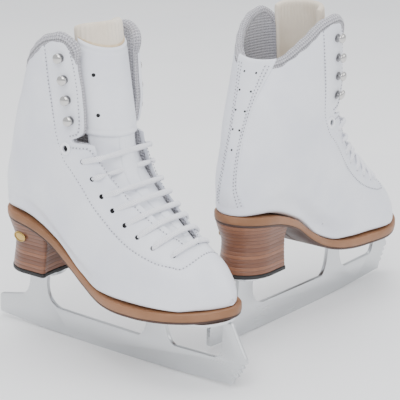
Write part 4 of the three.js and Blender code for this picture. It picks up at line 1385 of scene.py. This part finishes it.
def heel_ring(t, z, grow=0.0):
    """D-shaped outline of the heel at a share t of its height: a round back, a nearly flat breast that
    is slightly hollow, and a small corner radius where they meet."""
    half, back = heel_flare(t) + grow, heel_back(t) - grow
    breast = 52 + 7 * t**1.5 + grow
    a = np.linspace(math.pi / 2, 3 * math.pi / 2, 41)
    round_part = np.stack([back + (half + 3) * (1 + np.cos(a)), half * np.sin(a)], 1)
    edge_y = half * 0.985
    k = np.linspace(0, 1, 6)[1:]
    side_x = round_part[-1, 0]
    straight = np.stack([side_x + (breast - CORNER - side_x) * k, -half + (half - edge_y) * k], 1)
    b = np.linspace(-math.pi / 2, 0, 6)[1:]
    corner = np.stack([breast - CORNER + CORNER * np.cos(b), -edge_y + CORNER + CORNER * np.sin(b)], 1)
    y = np.linspace(-edge_y + CORNER, edge_y - CORNER, 15)[1:-1]
    face = np.stack([breast - 3.0 * (1 - (y / edge_y) ** 2), y], 1)
    mirror = np.concatenate([corner[::-1] * [1, -1], straight[::-1] * [1, -1]])
    ring = np.concatenate([round_part, straight, corner, face, mirror[:-1]])
    return np.column_stack([ring, np.full(len(ring), z)])


def heel_stack():
    """Stacked heel: leather layers, each swelling a little between the grooves, cut off under the sole.
    Faces of the breast are the second material."""
    layers, per = 18, 6
    z = np.linspace(STACK_LOW, STACK_LOW + layers * HEEL_LAYER, layers * per + 1)
    phase = (z - STACK_LOW) / HEEL_LAYER % 1
    swell = -0.22 * np.exp(-((np.minimum(phase, 1 - phase) / 0.12) ** 2))
    t = (z - STACK_LOW) / (SEAT - STACK_LOW)
    obj = outward_solid("heel", closed_tube([heel_ring(*each) for each in zip(t, z, swell)]))
    x = np.linspace(-30, 90, 60)
    seat = np.concatenate([np.stack([x, outsole_low(x) + 0.2], 1), [[90, 200], [-30, 200]]])
    mesh = cut(obj, outward_solid("seat_cutter", prism(seat, -80, 80)))
    centre, normal = (vectors_of(mesh.polygons, name) for name in ("center", "normal"))
    breast = (normal[:, 0] > 0.8) & (centre[:, 0] > 45)
    mesh.polygons.foreach_set("material_index", breast.astype(int))
    return mesh


both("heel_stack", heel_stack(), [STACK, BREAST], nodes=("heel_stack",), crease=40)

# rings of the lift, as height above its underside and growth
LIFT_EDGE = ((0, -0.2), (0.25, 0.35), (0.7, 0.6), (2.9, 0.6), (3.4, 0.4), (LIFT, -0.3))


def heel_lift():
    rings = [heel_ring(0, HEEL_LOW + dz, grow) for dz, grow in LIFT_EDGE]
    return outward_solid("heel_lift", closed_tube(rings))


both("heel_lift", heel_lift(), RUBBER, nodes=("heel_lift",), crease=50)

# the badge's place and half sizes, and its half sections as share of its size and height
BADGE_PLACE = (23, -25.4, 98)
BADGE_TURN = -0.15
BADGE_LONG, BADGE_HIGH = 8.5, 4.7
BADGE_SECTIONS = {
    "rim": [(1.0, 0.0), (1.02, 0.7), (0.96, 1.1), (0.88, 0.9), (0.84, 0.45)],
    "field": [(0.86, 0.2), (0.84, 0.5), (0.6, 0.75), (0.3, 0.88), (0.02, 0.92)],
}


def badge(kind):
    """Oval badge on the outer side of the heel: a domed field inside a rounded rim, left plain."""
    ring = oval(1, 1, 40)
    x, y, z = np.stack([np.insert(ring * k * [BADGE_LONG, BADGE_HIGH], 1, -out, axis=1)
                        for k, out in BADGE_SECTIONS[kind]]).transpose(2, 0, 1)
    c, s = math.cos(BADGE_TURN), math.sin(BADGE_TURN)
    rings = np.stack([x * c - y * s, x * s + y * c, z], -1) + BADGE_PLACE
    return outward_solid("badge_" + kind, closed_tube(rings))


both("badge_rim", badge("rim"), GOLD, nodes=("heel_badge",))
both("badge_field", badge("field"), GOLD)


# ---- blade ----
ROCKER_RADIUS, TOUCH = 2300, 110  # the circle of the ground edge, and the x where it touches the ice
RUNNER_HALF = 2.1
PLATE_THICK = 3.0
TOOTH_LOW = 256.6  # x of the lowest tooth
JOINT = 0.1  # between pieces that touch
PLATE_DROP = 0.15


def rocker(x):
    """Height of the ground edge: a parabola close to the rocker's circle."""
    return (x - TOUCH) ** 2 / (2 * ROCKER_RADIUS)


def quadratic(a, b, c, count=14):
    """Curve from a to c pulled towards b."""
    t = np.linspace(0, 1, count)[:, None]
    return (1 - t) ** 2 * np.array(a) + 2 * t * (1 - t) * np.array(b) + t**2 * np.array(c)


def under_plate(x):
    """Height of the top of the posts, under the sole plate."""
    return float(outsole_low(x)) - 0.3 - PLATE_THICK - JOINT


def toe_picks():
    """The drag pick and the four teeth above it, each with a flat top and a sloping underside."""
    teeth = 4
    points = [[254, rocker(254) - 0.6], [TOOTH_LOW, rocker(254) + 6.5]]
    low, high = rocker(254) + 6.5, 30.0
    for i in range(teeth):
        t = (i + 1) / teeth
        reach = TOOTH_LOW + 12.4 * t**0.8
        z = low + (high - low) * t
        back = 0 if i == teeth - 1 else 2.4
        points += [[reach, z - (high - low) / teeth + 1.2], [reach - back, z]]
    return points


def runner_outline():
    """Side outline of the runner: the rockered edge, drag pick and teeth, then back along the top
    through the toe post, front window, middle post, long window, heel post and tail."""
    x = np.linspace(-30.5, 245, 60)
    under = np.column_stack([x, rocker(x)])
    parts = [under, toe_picks(), quadratic([269, 30], [262, 42], [253, under_plate(253)]),
             quadratic([243, under_plate(243)], [245.5, 25.2], [234, 25]),
             quadratic([190, 24], [178.5, 26], [178, under_plate(178)]),
             quadratic([159, under_plate(159)], [157.5, 28], [147, 24]),
             quadratic([48, 25.5], [27, 31], [35, 59.5]),
             quadratic([11, 59.5], [11.5, 33], [-2, 29.5]),
             quadratic([-27.5, 24], [-32, 24], [-31.9, 20]),
             [[TAIL_BACK, rocker(TAIL_BACK) + 1]]]
    return np.concatenate([np.asarray(p, float).reshape(-1, 2) for p in parts])


def runner():
    """Flat blade with a small bevel. Its rim, round the windows, the toe and the ground edge, is the
    second material."""
    obj = build("runner", *prism(runner_outline(), -RUNNER_HALF, RUNNER_HALF), smooth=False)
    weld(obj.data)
    modify(obj, "BEVEL", width=0.45, segments=2, limit_method="ANGLE", angle_limit=math.radians(60))
    mesh = finished(obj)
    rim = np.abs(vectors_of(mesh.polygons, "normal")[:, 1]) < 0.9
    mesh.polygons.foreach_set("material_index", rim.astype(int))
    mesh.polygons.foreach_set("use_smooth", np.ones(len(mesh.polygons), bool))
    return mesh


both("runner", runner(), [BLADE, MIRROR_EDGE], nodes=("runner",), crease=30)


def plate_outline(x0, x1, half, corner):
    """Outline in plan of a plate from x0 to x1, its ends quarter ellipses of length corner."""
    t = np.linspace(0, math.pi, 60)
    x = (x0 + x1) / 2 - (x1 - x0) / 2 * np.cos(t)
    end = np.maximum((x0 + corner - x) / corner, (x - x1 + corner) / corner)
    width = half * rounded(end)
    return np.concatenate([np.stack([x, width], 1), np.stack([x, -width], 1)[-2:0:-1]])


def plate(name, x0, x1, half, corner, top):
    """Thin plate with rounded ends and eased edges that follows the sole or the heel."""
    rings = []
    for down, inset in ((0, 0.4), (0.3, 0), (PLATE_THICK - 0.3, 0), (PLATE_THICK, 0.4)):
        o = plate_outline(x0 + inset, x1 - inset, half - inset, corner)
        rings.append(np.column_stack([o, top(o[:, 0]) - down]))
    return outward_solid(name, closed_tube(np.array(rings)))


def sole_plate_top(x):
    return outsole_low(x) - PLATE_DROP


def heel_plate_top(x):
    return np.full_like(x, HEEL_LOW - PLATE_DROP)


for name, *sizes in (("sole_plate", 150, 251, 24, 26, sole_plate_top),
                     ("heel_plate", 2.5, 49, 19, 15, heel_plate_top)):
    both(name, plate(name, *sizes), PLATE, nodes=(name,), crease=40)

HEEL_SCREWS = [(6.6, 0, 59.7), (42.5, 0, 59.7)]
SOLE_SCREWS = [(168, 15), (168, -15), (222, 13), (222, -13)]
SCREW = [[0.01, -1.6], [1.0, -1.55], [1.1, -1.2], [1.5, -1.2], [1.6, -1.6], [2.7, -1.3], [3.4, -0.5],
         [3.5, 0.2], [1.8, 0.2], [1.8, 6], [0.01, 6]]


def screws():
    """Pan-headed screws under the two plates, each with a shallow ring for its slot."""
    places = HEEL_SCREWS + [(x, y, float(outsole_low(x)) - 3.2) for x, y in SOLE_SCREWS]
    return outward_solid("screws", merge([turned(SCREW, at, [0, 0, 1], 20) for at in places]))


both("screws", screws(), NICKEL, nodes=("heel_screw_1", "heel_screw_2"), crease=40)

# ---- inside ----
for side in SIDES:
    for node, material in (("footbed", FOOTBED), ("insole_board", BOARD)):
        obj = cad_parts[f"{side}_{node}"]
        obj.data.materials.clear()
        obj.data.materials.append(material)


# ---- floor, light and camera ----
def floor():
    size = 6.0
    corners = [(-size, -size, 0), (size, -size, 0), (size, size, 0), (-size, size, 0)]
    mesh = bpy.data.meshes.new("floor")
    mesh.from_pydata(corners, [], [(0, 1, 2, 3)])
    material, graph, inputs = finish_material("pale_floor", "fafafa", 0.75)
    smudge = graph.group(SMUDGE, Vector=graph.object_place(), Size=3.0)
    graph.feed(inputs["Base Color"], graph.mix(smudge.outputs["Mask"], rgb("fbfbfb"), rgb("f8f8f9")))
    mesh.materials.append(material)
    linked("floor", mesh)


def area_light(name, at, target, size, power):
    """Rectangular soft light at a place, turned towards a target."""
    light = bpy.data.lights.new(name, "AREA")
    light.shape = "RECTANGLE"
    light.size, light.size_y = size
    light.energy = power
    obj = linked(name, light)
    obj.location = at
    obj.rotation_euler = (Vector(target) - Vector(at)).to_track_quat("-Z", "Y").to_euler()


floor()
world = bpy.data.worlds.new("studio")
world.use_nodes = True
background = world.node_tree.nodes["Background"].inputs
background["Color"].default_value = (0.95, 0.97, 1.0, 1)
background["Strength"].default_value = 0.98
bpy.context.scene.world = world
area_light("key", (-1.6, -1.0, 1.9), (0, 0, 0.12), (1.6, 1.6), 40)
area_light("fill", (1.2, -1.8, 1.2), (0, 0, 0.12), (1.6, 1.2), 12)
area_light("top", (0.2, 0.4, 2.2), (0, 0, 0.1), (2.0, 2.0), 34)

camera = bpy.data.cameras.new("camera")
camera.sensor_width = 36
camera.lens = 133.9
view = linked("camera", camera)
view.location = (-1.0954, -0.8610, 0.5237)
azimuth, pitch = math.radians(51.04), math.radians(16.55)
view.rotation_euler = (math.pi / 2 - pitch, 0, -azimuth)
bpy.context.scene.camera = view
